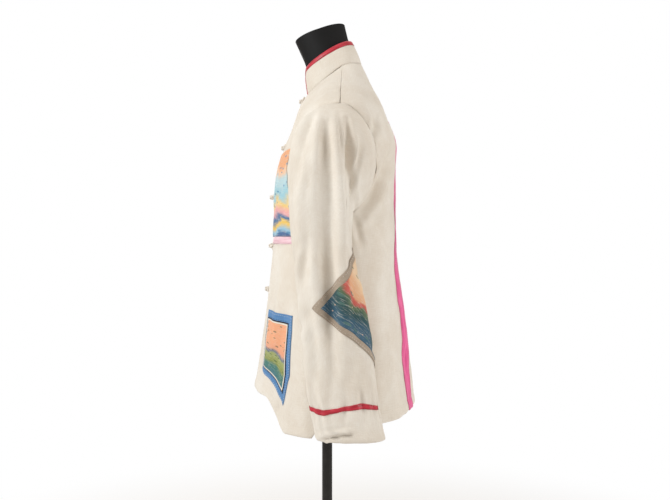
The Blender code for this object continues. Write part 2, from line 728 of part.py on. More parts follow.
def front_lifted(grid, offset, height, lift):
    # A point over the front at a distance from the centre line, at a height of the cloth.
    side = -1.0 if offset < 0.0 else 1.0
    low, high = 0.0, len(grid) - 1.0
    for _ in range(40):
        row = (low + high) / 2.0
        column = column_at(grid, row, abs(offset))
        point, normal = grid_pair(grid, row, column)
        if point.z < height:
            low = row
        else:
            high = row
    point = point + normal * lift
    if abs(offset) < 0.003:
        point.x = abs(offset)
    return Vector((side * point.x, point.y, point.z))


def build_frogs(grid, collection):
    lift = CORD_RADIUS + CORD_LIFT
    gap = CORD_RADIUS + SEAM
    loop = KNOT_RADIUS + CORD_RADIUS + SEAM
    for number, height in enumerate(KNOT_HEIGHTS, 1):
        bm = bmesh.new()
        bmesh.ops.create_uvsphere(bm, u_segments=8, v_segments=6, radius=KNOT_RADIUS)
        mesh = bpy.data.meshes.new("frog_knot")
        bm.to_mesh(mesh)
        bm.free()
        knot = link_mesh(f"frog_knot_{number}", mesh, collection, COTTON)
        knot.location = front_lifted(grid, 0.0, height, KNOT_RADIUS + CORD_LIFT)
        near = loop + CORD_RADIUS + SEAM
        run = [near + (FROG_REACH - near) * k / 3.0 for k in range(4)]
        path = [(d, gap) for d in run]
        path += [(FROG_REACH + gap * math.sin(a), gap * math.cos(a))
                 for a in (math.pi / 3.0, math.pi / 1.5)]
        path += [(d, -gap) for d in reversed(run)]
        points = [front_lifted(grid, d, height + up, lift) for d, up in path]
        cord(f"frog_left_{number}", points, collection, COTTON)
        path = [(-d, gap) for d in reversed(run)]
        path += [(-loop * math.cos(a), loop * math.sin(a))
                 for a in (math.pi * (0.17 + 0.237 * k) for k in range(8))]
        path += [(-d, -gap) for d in run]
        points = [front_lifted(grid, d, height + up, lift) for d, up in path]
        cord(f"frog_right_{number}", points, collection, COTTON)


def build_form(front, back, collection):
    # Over the shoulders the form takes the panels' own points, so that it lies close under them.
    ahead, behind = len(front[0]) - 1, len(back[0]) // 2
    turns = [0.5 * k / ahead for k in range(ahead + 1)]
    turns += [0.5 + 0.5 * k / behind for k in range(1, behind + 1)]
    halves = [[ring_point(row, turn) for turn in turns] for row in FORM_ROWS]
    for index, level in enumerate(body_levels()):
        if level >= SHOULDER:
            share = (level - SHOULDER) / (NECK - SHOULDER)
            clearance = WALL + FORM_CLEARANCE + NECK_CLEARANCE * smooth(share)
            pairs = front[index] + back[index][1:behind + 1]
            halves.append([point - normal * clearance for point, normal in pairs])
    halves += [[ring_point(row, turn) for turn in turns] for row in NECK_ROWS]
    rings = []
    for half in halves:
        half[0].x = half[-1].x = 0.0
        rings.append(half + [Vector((-p.x, p.y, p.z)) for p in reversed(half[1:-1])])
    solid_from_rings("form", rings, collection, BLACK, 0.6)


def cylinder(name, radius, low, high, collection, colour, bevel, metallic, segments):
    bm = bmesh.new()
    bmesh.ops.create_cone(bm, cap_ends=True, segments=segments, radius1=radius, radius2=radius,
                          depth=high - low)
    mesh = bpy.data.meshes.new(name)
    bm.to_mesh(mesh)
    bm.free()
    built = link_mesh(name, mesh, collection, colour, 0.4, metallic)
    built.location = (0.0, 0.0, (low + high) / 2.0)
    if bevel:
        edge = built.modifiers.new("edge", "BEVEL")
        edge.width = bevel
        edge.segments = 1
    return built


def build_stand(collection):
    cylinder("base", BASE_RADIUS, 0.0, BASE_THICKNESS, collection, BLACK, 0.002, 0.6, 40)
    cylinder("hub", HUB_RADIUS, BASE_THICKNESS + SEAM, BASE_THICKNESS + HUB_HEIGHT, collection,
             BLACK, 0.003, 0.6, 20)
    cylinder("pole", POLE_RADIUS, BASE_THICKNESS + HUB_HEIGHT + SEAM, FORM_FOOT - SEAM,
             collection, BLACK, 0.0, 0.6, 16)


def main():
    for old in list(bpy.data.objects):
        bpy.data.objects.remove(old, do_unlink=True)
    collection = bpy.data.collections.new("cotton_jacket_on_dress_form")
    bpy.context.scene.collection.children.link(collection)
    front = front_grid()
    back = back_grid()
    sheet("front_left", front, collection, COTTON)
    sheet("front_right", mirror_grid(front), collection, COTTON)
    sheet("back", back, collection, COTTON)
    build_front_patches(front, collection)
    build_back_tape(back, collection)
    build_sleeves(collection)
    build_collar(collection)
    build_frogs(front, collection)
    build_form(front, back, collection)
    build_stand(collection)


main()
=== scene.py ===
import math
from collections import namedtuple

import bmesh
import bpy
import numpy as np
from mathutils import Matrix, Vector, noise


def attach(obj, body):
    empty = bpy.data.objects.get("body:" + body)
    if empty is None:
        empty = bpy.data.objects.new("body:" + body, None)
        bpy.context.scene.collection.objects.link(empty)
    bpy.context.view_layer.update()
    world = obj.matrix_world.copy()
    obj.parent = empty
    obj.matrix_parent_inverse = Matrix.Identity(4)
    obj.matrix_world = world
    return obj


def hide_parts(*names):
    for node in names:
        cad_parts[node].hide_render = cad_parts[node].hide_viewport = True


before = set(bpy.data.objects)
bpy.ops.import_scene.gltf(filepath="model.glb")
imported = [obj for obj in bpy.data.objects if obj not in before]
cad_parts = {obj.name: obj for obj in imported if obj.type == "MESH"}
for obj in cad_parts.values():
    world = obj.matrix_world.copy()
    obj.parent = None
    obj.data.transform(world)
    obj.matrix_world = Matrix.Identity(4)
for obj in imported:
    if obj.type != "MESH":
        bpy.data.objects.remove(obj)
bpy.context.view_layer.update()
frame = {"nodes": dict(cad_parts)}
print("frame loaded")

# Metres, +Z up; the wearer faces -Y and the wearer's left is +X.
wall, seamGap = 0.0016, 0.0003
hem, underarm, shoulder, neck = 0.532, 0.940, 1.157, 1.263
spacing = 0.0033   # between the points of the cloth

Ring = namedtuple("Ring", "level frontHeight backHeight front back side halfWidth "
                          "frontSquareness backSquareness frontCrest backCrest step")
bodyRows = tuple(Ring(*row) for row in (
    (hem, 0.593, 0.558, -0.155, 0.188, 0.020, 0.235, 2.10, 2.05, 6.0, 0.35, 1.0),
    (0.640, 0.660, 0.646, -0.1425, 0.1775, 0.020, 0.228, 2.25, 2.05, 4.0, 1.0, 0.6),
    (0.750, 0.760, 0.754, -0.1275, 0.165, 0.020, 0.215, 2.45, 2.10, 3.0, 2.0, 0.0),
    (0.860, 0.864, 0.860, -0.116, 0.149, 0.020, 0.203, 2.60, 2.20, 2.0, 2.0, 0.0),
    (underarm, 0.940, 0.940, -0.114, 0.145, 0.020, 0.198, 2.55, 2.35, 2.0, 2.0, 0.0),
    (1.040, 1.034, 1.042, -0.108, 0.145, 0.021, 0.200, 2.50, 2.45, 2.0, 2.0, 0.0),
    (1.110, 1.095, 1.106, -0.090, 0.146, 0.024, 0.204, 2.40, 2.40, 2.0, 2.0, 0.0),
    (shoulder, 1.130, 1.150, -0.075, 0.130, 0.0265, 0.205, 2.30, 2.30, 2.0, 2.0, 0.0),
    (1.187, 1.155, 1.185, -0.068, 0.117, 0.028, 0.172, 2.20, 2.20, 2.0, 2.0, 0.0),
    (1.222, 1.182, 1.220, -0.060, 0.101, 0.030, 0.122, 2.10, 2.10, 1.6, 1.6, 0.0),
    (1.247, 1.200, 1.252, -0.050, 0.0875, 0.031, 0.088, 2.05, 2.05, 1.3, 1.3, 0.0),
    (neck, 1.211, 1.279, -0.0417, 0.0750, 0.0316, 0.067, 2.00, 2.00, 1.0, 1.0, 0.0),
))
stepStart, stepEnd = 0.205, 0.315       # where round the turn the front hem drops
collarTop = Ring(1.305, 1.272, 1.329, -0.0475, 0.0545, 0.012, 0.0600, 2.0, 2.0, 1.0, 1.0, 0.0)
armhole = {"front": 0.215, "back": 0.180, "roundness": 0.60}
slit = {"top": 0.640, "front": 0.078, "back": 0.022}
bodyFolds = ((0.27, hem - 0.10, 0.80, 0.040, 0.006), (0.40, hem - 0.10, 0.74, 0.035, -0.005),
             (0.62, hem - 0.10, 0.86, 0.040, 0.007), (0.74, hem - 0.10, 0.78, 0.035, -0.006),
             (0.86, hem - 0.10, 0.90, 0.040, 0.006))

# Rings of the sleeve between its under side and its outer side, from the armhole to the cuff:
# under x and z, outer x and z, front, back and middle y, squareness.
sleeveRows = (
    (0.2065, 0.9380, 0.231, 1.148, -0.066, 0.090, 0.012, 2.1),
    (0.2085, 0.9320, 0.256, 1.122, -0.068, 0.080, 0.004, 2.1),
    (0.2100, 0.9240, 0.273, 1.084, -0.068, 0.066, -0.002, 2.2),
    (0.2110, 0.9130, 0.283, 1.038, -0.067, 0.055, -0.006, 2.2),
    (0.2125, 0.8970, 0.289, 0.985, -0.065, 0.049, -0.008, 2.2),
    (0.2145, 0.8740, 0.292, 0.930, -0.062, 0.049, -0.006, 2.2),
    (0.2170, 0.8470, 0.294, 0.878, -0.058, 0.052, -0.002, 2.1),
    (0.2200, 0.8170, 0.296, 0.832, -0.054, 0.060, 0.004, 2.0),
    (0.2240, 0.7850, 0.298, 0.790, -0.050, 0.068, 0.010, 2.0),
    (0.2275, 0.7490, 0.299, 0.750, -0.046, 0.075, 0.016, 2.0),
    (0.2310, 0.7120, 0.301, 0.712, -0.043, 0.082, 0.022, 2.0),
    (0.2345, 0.6750, 0.302, 0.675, -0.040, 0.087, 0.026, 2.0),
    (0.2385, 0.6350, 0.304, 0.635, -0.035, 0.092, 0.030, 2.1),
    (0.2410, 0.6080, 0.305, 0.608, -0.030, 0.096, 0.034, 2.1),
    (0.2420, 0.5940, 0.3055, 0.594, -0.0275, 0.098, 0.036, 2.1),
    (0.2435, 0.5660, 0.306, 0.566, -0.021, 0.102, 0.041, 2.2),
    (0.2445, 0.5440, 0.307, 0.544, -0.0155, 0.106, 0.046, 2.2),
)
# Degrees from the outer side towards the front, lowest and highest height, spread, depth.
sleeveFolds = ((2.0, 0.56, 1.16, 18.0, 0.006), (-33.0, 0.66, 1.20, 16.0, -0.004),
               (46.0, 0.60, 0.95, 20.0, 0.004), (-57.0, 0.88, 1.18, 16.0, 0.013))


def smooth(x):
    x = min(1.0, max(0.0, x))
    return x * x * (3.0 - 2.0 * x)


def cubic(a, b, c, d, t):
    return 0.5 * (2.0 * b + (c - a) * t + (2.0 * a - 5.0 * b + 4.0 * c - d) * t * t
                  + (3.0 * b - a - 3.0 * c + d) * t * t * t)


def blendRows(rows, level):
    last = len(rows) - 1
    index = next((i for i in range(last) if level <= rows[i + 1].level), last - 1)
    share = (level - rows[index].level) / (rows[index + 1].level - rows[index].level)
    around = [rows[min(last, max(0, index + k))] for k in (-1, 0, 1, 2)]
    return Ring(*(cubic(*column, share) for column in zip(*around)))


def ringPoint(ring, turn):
    # turn runs from 0 at the centre front over 0.5 at the side to 1 at the centre back.
    angle = math.pi * turn
    ahead = turn <= 0.5
    power = 2.0 / (ring.frontSquareness if ahead else ring.backSquareness)
    reach = abs(math.cos(angle)) ** power
    across = max(0.0, math.sin(angle)) ** power * ring.halfWidth
    if ahead:
        dropped = 1.0 - smooth((turn - stepStart) / (stepEnd - stepStart))
        share = reach ** ring.frontCrest * (1.0 - ring.step) + dropped * ring.step
        return Vector((across, ring.side + (ring.front - ring.side) * reach,
                       ring.level + (ring.frontHeight - ring.level) * share))
    return Vector((across, ring.side + (ring.back - ring.side) * reach,
                   ring.level + (ring.backHeight - ring.level) * reach ** ring.backCrest))


def foldDepth(folds, turn, level):
    total = 0.0
    for place, low, high, spread, depth in folds:
        along = (level - low) / (high - low)
        if 0.0 < along < 1.0:
            across = (turn - place) / spread
            total += depth * math.sin(math.pi * along) ** 0.8 * math.exp(-across * across)
    return total


def armholeShare(level, reach):
    along = (level - underarm) / (shoulder - underarm)
    if along <= 0.0 or along >= 1.0:
        return 0.0
    return reach * math.sin(math.pi * along) ** armhole["roundness"]


def slitShare(level, width):
    if level >= slit["top"]:
        return 0.0
    return width * (slit["top"] - level) / (slit["top"] - hem)


def evenTurns(ring, start, end, count):
    # Columns spaced by length along a ring.
    fine = [start + (end - start) * k / 60.0 for k in range(61)]
    points = [ringPoint(ring, t) for t in fine]
    lengths = [0.0]
    for a, b in zip(points, points[1:]):
        lengths.append(lengths[-1] + (b - a).length)
    targets = np.linspace(0.0, lengths[-1], count + 1)
    return list(np.interp(targets, lengths, fine))


def smoothBodyPoint(turn, level):
    return ringPoint(blendRows(bodyRows, level), turn)


def sunkPoint(turn, level, depth):
    # A point of the smooth body, moved in along its normal.
    step = 0.004
    ahead, behind = min(1.0, turn + step), max(0.0, turn - step)
    above, below = min(neck, level + step), max(hem, level - step)
    across = smoothBodyPoint(ahead, level) - smoothBodyPoint(behind, level)
    up = smoothBodyPoint(turn, above) - smoothBodyPoint(turn, below)
    return smoothBodyPoint(turn, level) - across.cross(up).normalized() * depth


def bodyPoint(turn, level):
    # A point of the jacket's body, moved by its large folds.
    depth = foldDepth(bodyFolds, turn, level)
    if abs(depth) < 1e-5:
        return smoothBodyPoint(turn, level)
    return sunkPoint(turn, level, depth)


class Surface:
    # A grid of points with outward normals. Its places are (row value, column share).
    def __init__(self, points, rowValues, closed=False, flipped=False):
        self.points = np.array(points, float)
        self.rowValues = np.array(rowValues, float)
        self.closed = closed
        self.flipped = flipped
        self.refresh()

    def refresh(self):
        points = self.points
        up = np.gradient(points, axis=0)
        if self.closed:
            across = np.roll(points, -1, axis=1) - np.roll(points, 1, axis=1)
        else:
            across = np.gradient(points, axis=1)
        normals = np.cross(across, up)
        if self.flipped:
            normals = -normals
        self.normals = normals / np.maximum(np.linalg.norm(normals, axis=2, keepdims=True), 1e-12)

    def at(self, rowValue, share):
        # The point and normal at places between the grid's own.
        rows, columns = self.points.shape[:2]
        row = np.interp(rowValue, self.rowValues, np.arange(rows))
        column = np.asarray(share, float) * (columns if self.closed else columns - 1)
        j = np.clip(np.floor(row).astype(int), 0, rows - 2)
        k = np.floor(column).astype(int)
        if not self.closed:
            k = np.clip(k, 0, columns - 2)
        v = (row - j)[..., None]
        u = (column - k)[..., None]
        near, far = k % columns, (k + 1) % columns
        found = []
        for grid in (self.points, self.normals):
            found.append((grid[j, near] * (1 - u) + grid[j, far] * u) * (1 - v)
                         + (grid[j + 1, near] * (1 - u) + grid[j + 1, far] * u) * v)
        found[1] /= np.maximum(np.linalg.norm(found[1], axis=-1, keepdims=True), 1e-12)
        return found

    def mirrored(self):
        return Surface(self.points * (-1.0, 1.0, 1.0), self.rowValues, self.closed, not self.flipped)


def lengthsAlong(points, axis):
    # The distance along a grid's rows or columns, for maps in metres.
    steps = np.linalg.norm(np.diff(points, axis=axis), axis=2)
    start = np.zeros_like(np.take(points[..., 0], [0], axis=axis))
    return np.concatenate([start, np.cumsum(steps, axis=axis)], axis=axis)


def noiseOver(places, scale, seed):
    # Soft noise between -1 and 1 at a grid of places, each scaled by its own axis's size.
    shape = places.shape[:-1]
    flat = places.reshape(-1, 3) / np.array(scale, float)
    shift = Vector((seed * 3.17, seed * 7.31, seed * 1.93))
    values = [noise.noise(Vector(p) + shift) for p in flat.tolist()]
    return np.array(values).reshape(shape)


def heightsOf(surface):
    # How far each point is from the surface's first row and from its last, along the cloth.
    up = lengthsAlong(surface.points, 0)
    return up, up[-1:] - up


Crease = namedtuple("Crease", "side route width depth")


def creaseMask(side, normals):
    facing = {"left": normals[..., 0], "right": -normals[..., 0],
              "front": -normals[..., 1], "back": normals[..., 1]}[side]
    x = np.clip((facing - 0.05) / 0.35, 0.0, 1.0)
    return x * x * (3.0 - 2.0 * x)


def pressCreases(surface, creases, seed):
    # Presses soft uneven troughs into a surface, each with a low bank along it. A negative
    # depth raises a ridge. A crease's route is seen square to its side: (y, z) on the left
    # and right, (x, z) else. Its width may change from its start to its end.
    points, normals = surface.points, surface.normals
    moved = np.zeros(points.shape[:2])
    for number, crease in enumerate(creases):
        across = 1 if crease.side in ("left", "right") else 0
        place = points[..., (across, 2)]
        route = np.array(crease.route, float)
        near = np.full(place.shape[:2], 9.0)
        along = np.zeros(place.shape[:2])
        lengths = np.linalg.norm(np.diff(route, axis=0), axis=1)
        total, done = lengths.sum(), 0.0
        for a, b, length in zip(route, route[1:], lengths):
            line = (b - a) / length
            t = np.clip((place - a) @ line, 0.0, length)
            gap = np.linalg.norm(place - a - t[..., None] * line, axis=2)
            closer = gap < near
            near = np.where(closer, gap, near)
            along = np.where(closer, (done + t) / total, along)
            done += length
        width = np.interp(along, np.linspace(0.0, 1.0, len(crease.width)), crease.width)
        taper = np.sin(np.pi * np.clip(along, 0.02, 0.98)) ** 0.5
        uneven = 1.0 + 0.25 * np.sin(along * 9.0 + number * 2.3) * np.sin(along * 4.0 + seed)
        away = near / width
        form = np.exp(-away ** 2) - 0.28 * np.exp(-((away - 1.9) / 0.8) ** 2)
        moved += crease.depth * taper * uneven * form * creaseMask(crease.side, normals)
    return moved


def mirroredCreases(creases):
    # The like creases on the other half, a little shorter or longer.
    other = {"left": "right", "right": "left", "front": "front", "back": "back"}
    made = []
    for number, crease in enumerate(creases):
        flip = -1.0 if crease.side in ("front", "back") else 1.0
        stretch = 1.0 + 0.08 * math.sin(number * 1.7)
        middle = sum(z for _, z in crease.route) / len(crease.route)
        route = tuple((h * flip, middle + (z - middle) * stretch - 0.006) for h, z in crease.route)
        made.append(Crease(other[crease.side], route, crease.width, crease.depth * 0.92))
    return made


# The look of each finish


class Value:
    # One socket's value in a material, used in plain expressions.
    def __init__(self, material, socket):
        self.material = material
        self.socket = socket

    def math(self, operation, *others):
        return self.material.add("ShaderNodeMath", {"operation": operation},
                                 dict(enumerate((self, *others))))

    def __add__(self, other): return self.math("ADD", other)
    def __radd__(self, other): return self.math("ADD", other)
    def __sub__(self, other): return self.math("SUBTRACT", other)
    def __rsub__(self, other): return self.material.number(other).math("SUBTRACT", self)
    def __mul__(self, other): return self.math("MULTIPLY", other)
    def __rmul__(self, other): return self.math("MULTIPLY", other)
    def __pow__(self, other): return self.math("POWER", other)


class Finish:
    # A material with one principled shader, and the helpers that its expressions need.
    def __init__(self, name, slot):
        self.slot = slot
        self.material = bpy.data.materials.new(name)
        self.material.use_nodes = True
        self.tree = self.material.node_tree
        self.shader = self.tree.nodes["Principled BSDF"]

    def put(self, socket, value):
        if isinstance(value, Value):
            self.tree.links.new(value.socket, socket)
        else:
            socket.default_value = value

    def add(self, kind, settings=None, values=None, output=0):
        # Adds a node, its settings first, then the values or links of its sockets.
        node = self.tree.nodes.new(kind)
        for key, value in (settings or {}).items():
            if key == "stops":
                while len(node.color_ramp.elements) < len(value):
                    node.color_ramp.elements.new(0.5)
                for element, (place, colour) in zip(node.color_ramp.elements, value):
                    element.position = place
                    element.color = colour
            elif key == "interpolation" and kind == "ShaderNodeValToRGB":
                node.color_ramp.interpolation = value
            else:
                setattr(node, key, value)
        for key, value in (values or {}).items():
            self.put(node.inputs[key], value)
        return Value(self, node.outputs[output])

    def number(self, value):
        if isinstance(value, Value):
            return value
        return self.add("ShaderNodeMath", {"operation": "ADD"}, {0: float(value), 1: 0.0})

    def mix(self, share, first, second):
        return self.add("ShaderNodeMix", {"data_type": "RGBA"}, {0: share, 6: first, 7: second}, 2)

    def tint(self, share, first, second):
        return self.add("ShaderNodeMix", {"data_type": "RGBA", "blend_type": "MULTIPLY"},
                        {0: share, 6: first, 7: second}, 2)

    def ramp(self, value, low, high):
        return self.add("ShaderNodeMapRange", {"interpolation_type": "SMOOTHSTEP"},
                        {0: value, 1: low, 2: high, 3: 0.0, 4: 1.0})

    def noise(self, place, scale, detail=2.0, roughness=0.5):
        return self.add("ShaderNodeTexNoise", {},
                        {"Vector": place, "Scale": scale, "Detail": detail, "Roughness": roughness})

    def stretch(self, place, x, y, z):
        return self.add("ShaderNodeVectorMath", {"operation": "MULTIPLY"},
                        {0: place, 1: (x, y, z)})

    def map(self):
        return self.add("ShaderNodeUVMap", {"uv_map": "cloth"})

    def space(self):
        return self.add("ShaderNodeTexCoord", {}, {}, 3)

    def parts(self, place):
        node = self.add("ShaderNodeSeparateXYZ", {}, {0: place}).socket.node
        return [Value(self, output) for output in node.outputs]

    def wave(self, value, length):
        # A sine wave between 0 and 1.
        return self.number(value * (math.tau / length)).math("SINE") * 0.5 + 0.5

    def bump(self, height, distance):
        self.put(self.shader.inputs["Normal"],
                 self.add("ShaderNodeBump", {}, {"Height": height, "Distance": distance,
                                                "Strength": 1.0}))

    def set(self, **values):
        names = {"colour": "Base Color", "roughness": "Roughness", "metallic": "Metallic",
                 "sheen": "Sheen Weight", "sheenRoughness": "Sheen Roughness",
                 "specular": "Specular IOR Level"}
        for key, value in values.items():
            self.put(self.shader.inputs[names[key]], value)
        return self


def rgb(red, green, blue):
    # A colour given as the eye reads it on a screen, from 0 to 255.
    return tuple(((c / 255.0) / 12.92 if c < 10.3 else ((c / 255.0 + 0.055) / 1.055) ** 2.4)
                 for c in (red, green, blue)) + (1.0,)


clothLook = {"light": rgb(236, 230, 220), "dark": rgb(219, 207, 191), "thread": 0.00085,
             "relief": 0.00016}


def clothFinish(name, slot, light, dark, threadSize, relief):
    # Plain woven cotton: threads over and under, with slubs and soft changes of shade.
    finish = Finish(name, slot)
    place = finish.map()
    u, v, _ = finish.parts(place)
    over = finish.wave(u, threadSize * 2.0)
    under = finish.wave(v, threadSize * 2.0)
    weave = over * under + (1.0 - over) * (1.0 - under)
    slubAcross = finish.noise(finish.stretch(place, 60.0, 900.0, 1.0), 1.0, 2.0)
    slubUp = finish.noise(finish.stretch(place, 900.0, 60.0, 1.0), 1.0, 2.0)
    slubs = finish.ramp(slubAcross * 0.5 + slubUp * 0.5, 0.38, 0.66)
    cloud = finish.ramp(finish.noise(finish.space(), 9.0, 3.0, 0.6), 0.35, 0.70)
    shade = cloud * 0.45 + slubs * 0.40 + weave * 0.15
    flecks = finish.ramp(finish.noise(finish.stretch(place, 500.0, 1500.0, 1.0), 1.0, 1.0), 0.74, 0.80)
    colour = finish.mix(shade, dark, light)
    colour = finish.mix(flecks * 0.22, colour, rgb(190, 172, 142))
    finish.set(colour=colour, roughness=0.86 + 0.08 * (1.0 - shade), sheen=0.12,
               sheenRoughness=0.5, specular=0.25)
    finish.bump(weave * 0.5 + slubs * 0.5, relief)
    return finish


def satinFinish(name, slot, light, dark, threadSize=0.0006, stripes=0.0):
    # Satin ribbon: fine long threads along it, so that light runs across them.
    finish = Finish(name, slot)
    place = finish.map()
    u, v, _ = finish.parts(place)
    threads = finish.noise(finish.stretch(place, 90.0, 2200.0, 1.0), 1.0, 2.0)
    broad = finish.noise(finish.stretch(place, 25.0, 220.0, 1.0), 1.0, 2.0)
    shade = finish.ramp(threads * 0.5 + broad * 0.5, 0.34, 0.66)
    ribs = finish.wave(u, threadSize * 3.0)
    finish.set(colour=finish.mix(shade, dark, light), roughness=0.34 + 0.18 * shade,
               sheen=0.25, sheenRoughness=0.3, specular=0.5)
    finish.bump(ribs * (0.25 + stripes) + threads * 0.5, 0.00012)
    return finish


def printFinish(name, slot, bands, scale, wobble, dots, dotColour, leafColour, edging=0.0):
    # A printed picture of soft wavy bands with leaf shapes and dots over them.
    # bands are (place up the patch from 0 to 1, colour). edging is the picture's height over
    # its width where a pale line and a dark line run round it.
    finish = Finish(name, slot)
    place = finish.map()
    u, v, _ = finish.parts(place)
    drift = finish.noise(finish.stretch(place, scale, scale, 1.0), 1.0, 3.0, 0.6)
    height = v + (drift - 0.5) * wobble + (finish.wave(u, 0.61) - 0.5) * wobble * 0.5
    colour = finish.add("ShaderNodeValToRGB", {"interpolation": "EASE", "stops": bands}, {0: height})
    brush = finish.noise(finish.stretch(place, 7.0, 60.0, 1.0), 1.0, 4.0, 0.7)
    colour = finish.mix(finish.ramp(brush, 0.50, 0.70) * 0.45, colour, rgb(236, 232, 220))
    leaves = finish.add("ShaderNodeTexVoronoi", {"feature": "F1"},
                        {"Vector": finish.stretch(place, 5.0, 13.0, 1.0), "Scale": 1.0,
                         "Randomness": 0.9})
    leafMask = 1.0 - finish.ramp(leaves, 0.20, 0.26)
    veins = finish.wave(u + v * 0.4, 0.022)
    colour = finish.mix(leafMask * (0.55 + 0.35 * veins), colour, leafColour)
    berries = finish.add("ShaderNodeTexVoronoi", {"feature": "F1"},
                         {"Vector": finish.stretch(place, dots, dots, 1.0), "Scale": 1.0,
                          "Randomness": 1.0})
    colour = finish.mix((1.0 - finish.ramp(berries, 0.10, 0.14)) * 0.85, colour, dotColour)
    if edging:
        inside = u.math("MINIMUM", 1.0 - u).math("MINIMUM", v).math("MINIMUM", edging - v)
        colour = finish.mix(1.0 - finish.ramp(inside, 0.062, 0.072), colour, rgb(232, 226, 214))
        colour = finish.mix(1.0 - finish.ramp(inside, 0.028, 0.036), colour, rgb(34, 30, 36))
    weaveAcross, weaveUp = finish.wave(u, 0.011), finish.wave(v, 0.011)
    weave = weaveAcross * weaveUp + (1.0 - weaveAcross) * (1.0 - weaveUp)
    colour = finish.tint(0.25, colour, finish.mix(weave, rgb(205, 200, 192), rgb(255, 255, 255)))
    finish.set(colour=colour, roughness=0.72 + 0.12 * weave, sheen=0.08, specular=0.3)
    finish.bump(weave * 0.6 + drift * 0.4, 0.00015)
    return finish


def darkFinish(name, slot, light, dark, relief, roughness, metallic):
    # Black jersey over the form, or black powder coat on the stand.
    finish = Finish(name, slot)
    grain = finish.noise(finish.space(), 900.0 if metallic == 0.0 else 1600.0, 2.0)
    worn = finish.ramp(finish.noise(finish.space(), 14.0, 4.0, 0.65), 0.40, 0.75)
    finish.set(colour=finish.mix(worn * 0.5 + grain * 0.5, dark, light), metallic=metallic,
               roughness=roughness + 0.12 * (grain - 0.5) + 0.08 * worn, specular=0.25)
    finish.bump(grain, relief)
    return finish


cotton = clothFinish("natural_cotton", "cotton", clothLook["light"], clothLook["dark"],
                     clothLook["thread"], clothLook["relief"])
redSatin = satinFinish("red_satin", "red_satin", rgb(214, 52, 70), rgb(160, 22, 40))
pinkTape = satinFinish("pink_tape", "pink_tape", rgb(250, 118, 172), rgb(214, 62, 128), stripes=0.3)
paleRibbon = satinFinish("pale_ribbon", "pale_ribbon", rgb(250, 218, 224), rgb(226, 176, 188))
threadLook = clothFinish("sewing_thread", "cotton", rgb(246, 241, 233), rgb(226, 217, 203),
                         0.0006, 0.00005)
redThread = satinFinish("red_thread", "red_satin", rgb(150, 26, 40), rgb(112, 14, 28))
blueCotton = clothFinish("blue_cotton", "blue_cotton", rgb(108, 150, 194), rgb(72, 118, 168),
                         0.0008, 0.00014)
taupeCotton = clothFinish("taupe_cotton", "taupe_cotton", rgb(186, 170, 152), rgb(150, 134, 118),
                          0.0008, 0.00014)
chestPrint = printFinish(
    "chest_print", "chest_print",
    ((0.0, rgb(70, 104, 150)), (0.07, rgb(150, 192, 214)), (0.16, rgb(236, 196, 96)),
     (0.24, rgb(84, 118, 158)), (0.34, rgb(236, 172, 172)), (0.46, rgb(240, 206, 130)),
     (0.58, rgb(160, 204, 216)), (0.78, rgb(188, 216, 222)), (0.91, rgb(242, 196, 160)),
     (1.0, rgb(236, 170, 124))), 6.0, 0.16, 17.0, rgb(238, 224, 214), rgb(92, 140, 176))
pocketPrint = printFinish(
    "pocket_print", "pocket_print",
    ((0.0, rgb(52, 112, 128)), (0.28, rgb(72, 124, 116)), (0.42, rgb(142, 150, 78)),
     (0.60, rgb(160, 168, 104)), (0.68, rgb(116, 122, 138)), (0.78, rgb(236, 166, 132)),
     (1.0, rgb(242, 172, 132))), 5.0, 0.14, 14.0, rgb(232, 206, 150), rgb(60, 96, 74),
    edging=0.120 / 0.078)
elbowPrint = printFinish(
    "elbow_print", "elbow_print",
    ((0.0, rgb(66, 100, 122)), (0.12, rgb(56, 92, 112)), (0.24, rgb(50, 82, 84)),
     (0.33, rgb(92, 112, 84)), (0.40, rgb(204, 96, 86)), (0.46, rgb(228, 172, 132)),
     (0.70, rgb(236, 202, 164)), (1.0, rgb(214, 190, 164))), 4.5, 0.18, 13.0,
    rgb(236, 200, 170), rgb(86, 120, 112))
cordLook = clothFinish("knot_cord", "cotton", rgb(242, 236, 228), rgb(220, 210, 196), 0.00045, 0.00012)
darkThread = clothFinish("dark_thread", "blue_cotton", rgb(40, 52, 78), rgb(22, 30, 52), 0.0006, 0.00005)
pinkThread = satinFinish("pink_thread", "pink_tape", rgb(240, 110, 162), rgb(200, 60, 120))
blackJersey = darkFinish("black_jersey", "black_form", rgb(22, 20, 21), rgb(9, 9, 9), 0.00012, 0.66, 0.0)
blackCoat = darkFinish("black_powder_coat", "black_metal", rgb(62, 59, 56), rgb(34, 32, 31),
                       0.00004, 0.42, 0.5)
print("finishes ready")


# Making meshes


def link(name, mesh, finish):
    built = bpy.data.objects.new(name, mesh)
    bpy.context.scene.collection.objects.link(built)
    mesh.materials.append(finish.material)
    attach(built, "root")
    return built


def meshFrom(name, points, faces, maps, finish):
    # maps holds one (u, v) for each point.
    mesh = bpy.data.meshes.new(name)
    mesh.from_pydata(np.asarray(points).tolist(), [], faces)
    if maps is not None:
        layer = mesh.uv_layers.new(name="cloth")
        corners = np.zeros(len(mesh.loops), int)
        mesh.loops.foreach_get("vertex_index", corners)
        layer.data.foreach_set("uv", np.asarray(maps, np.float32)[corners].ravel())
    work = bmesh.new()
    work.from_mesh(mesh)
    bmesh.ops.recalc_face_normals(work, faces=work.faces)
    work.to_mesh(mesh)
    work.free()
    mesh.polygons.foreach_set("use_smooth", [True] * len(mesh.polygons))
    return link(name, mesh, finish)


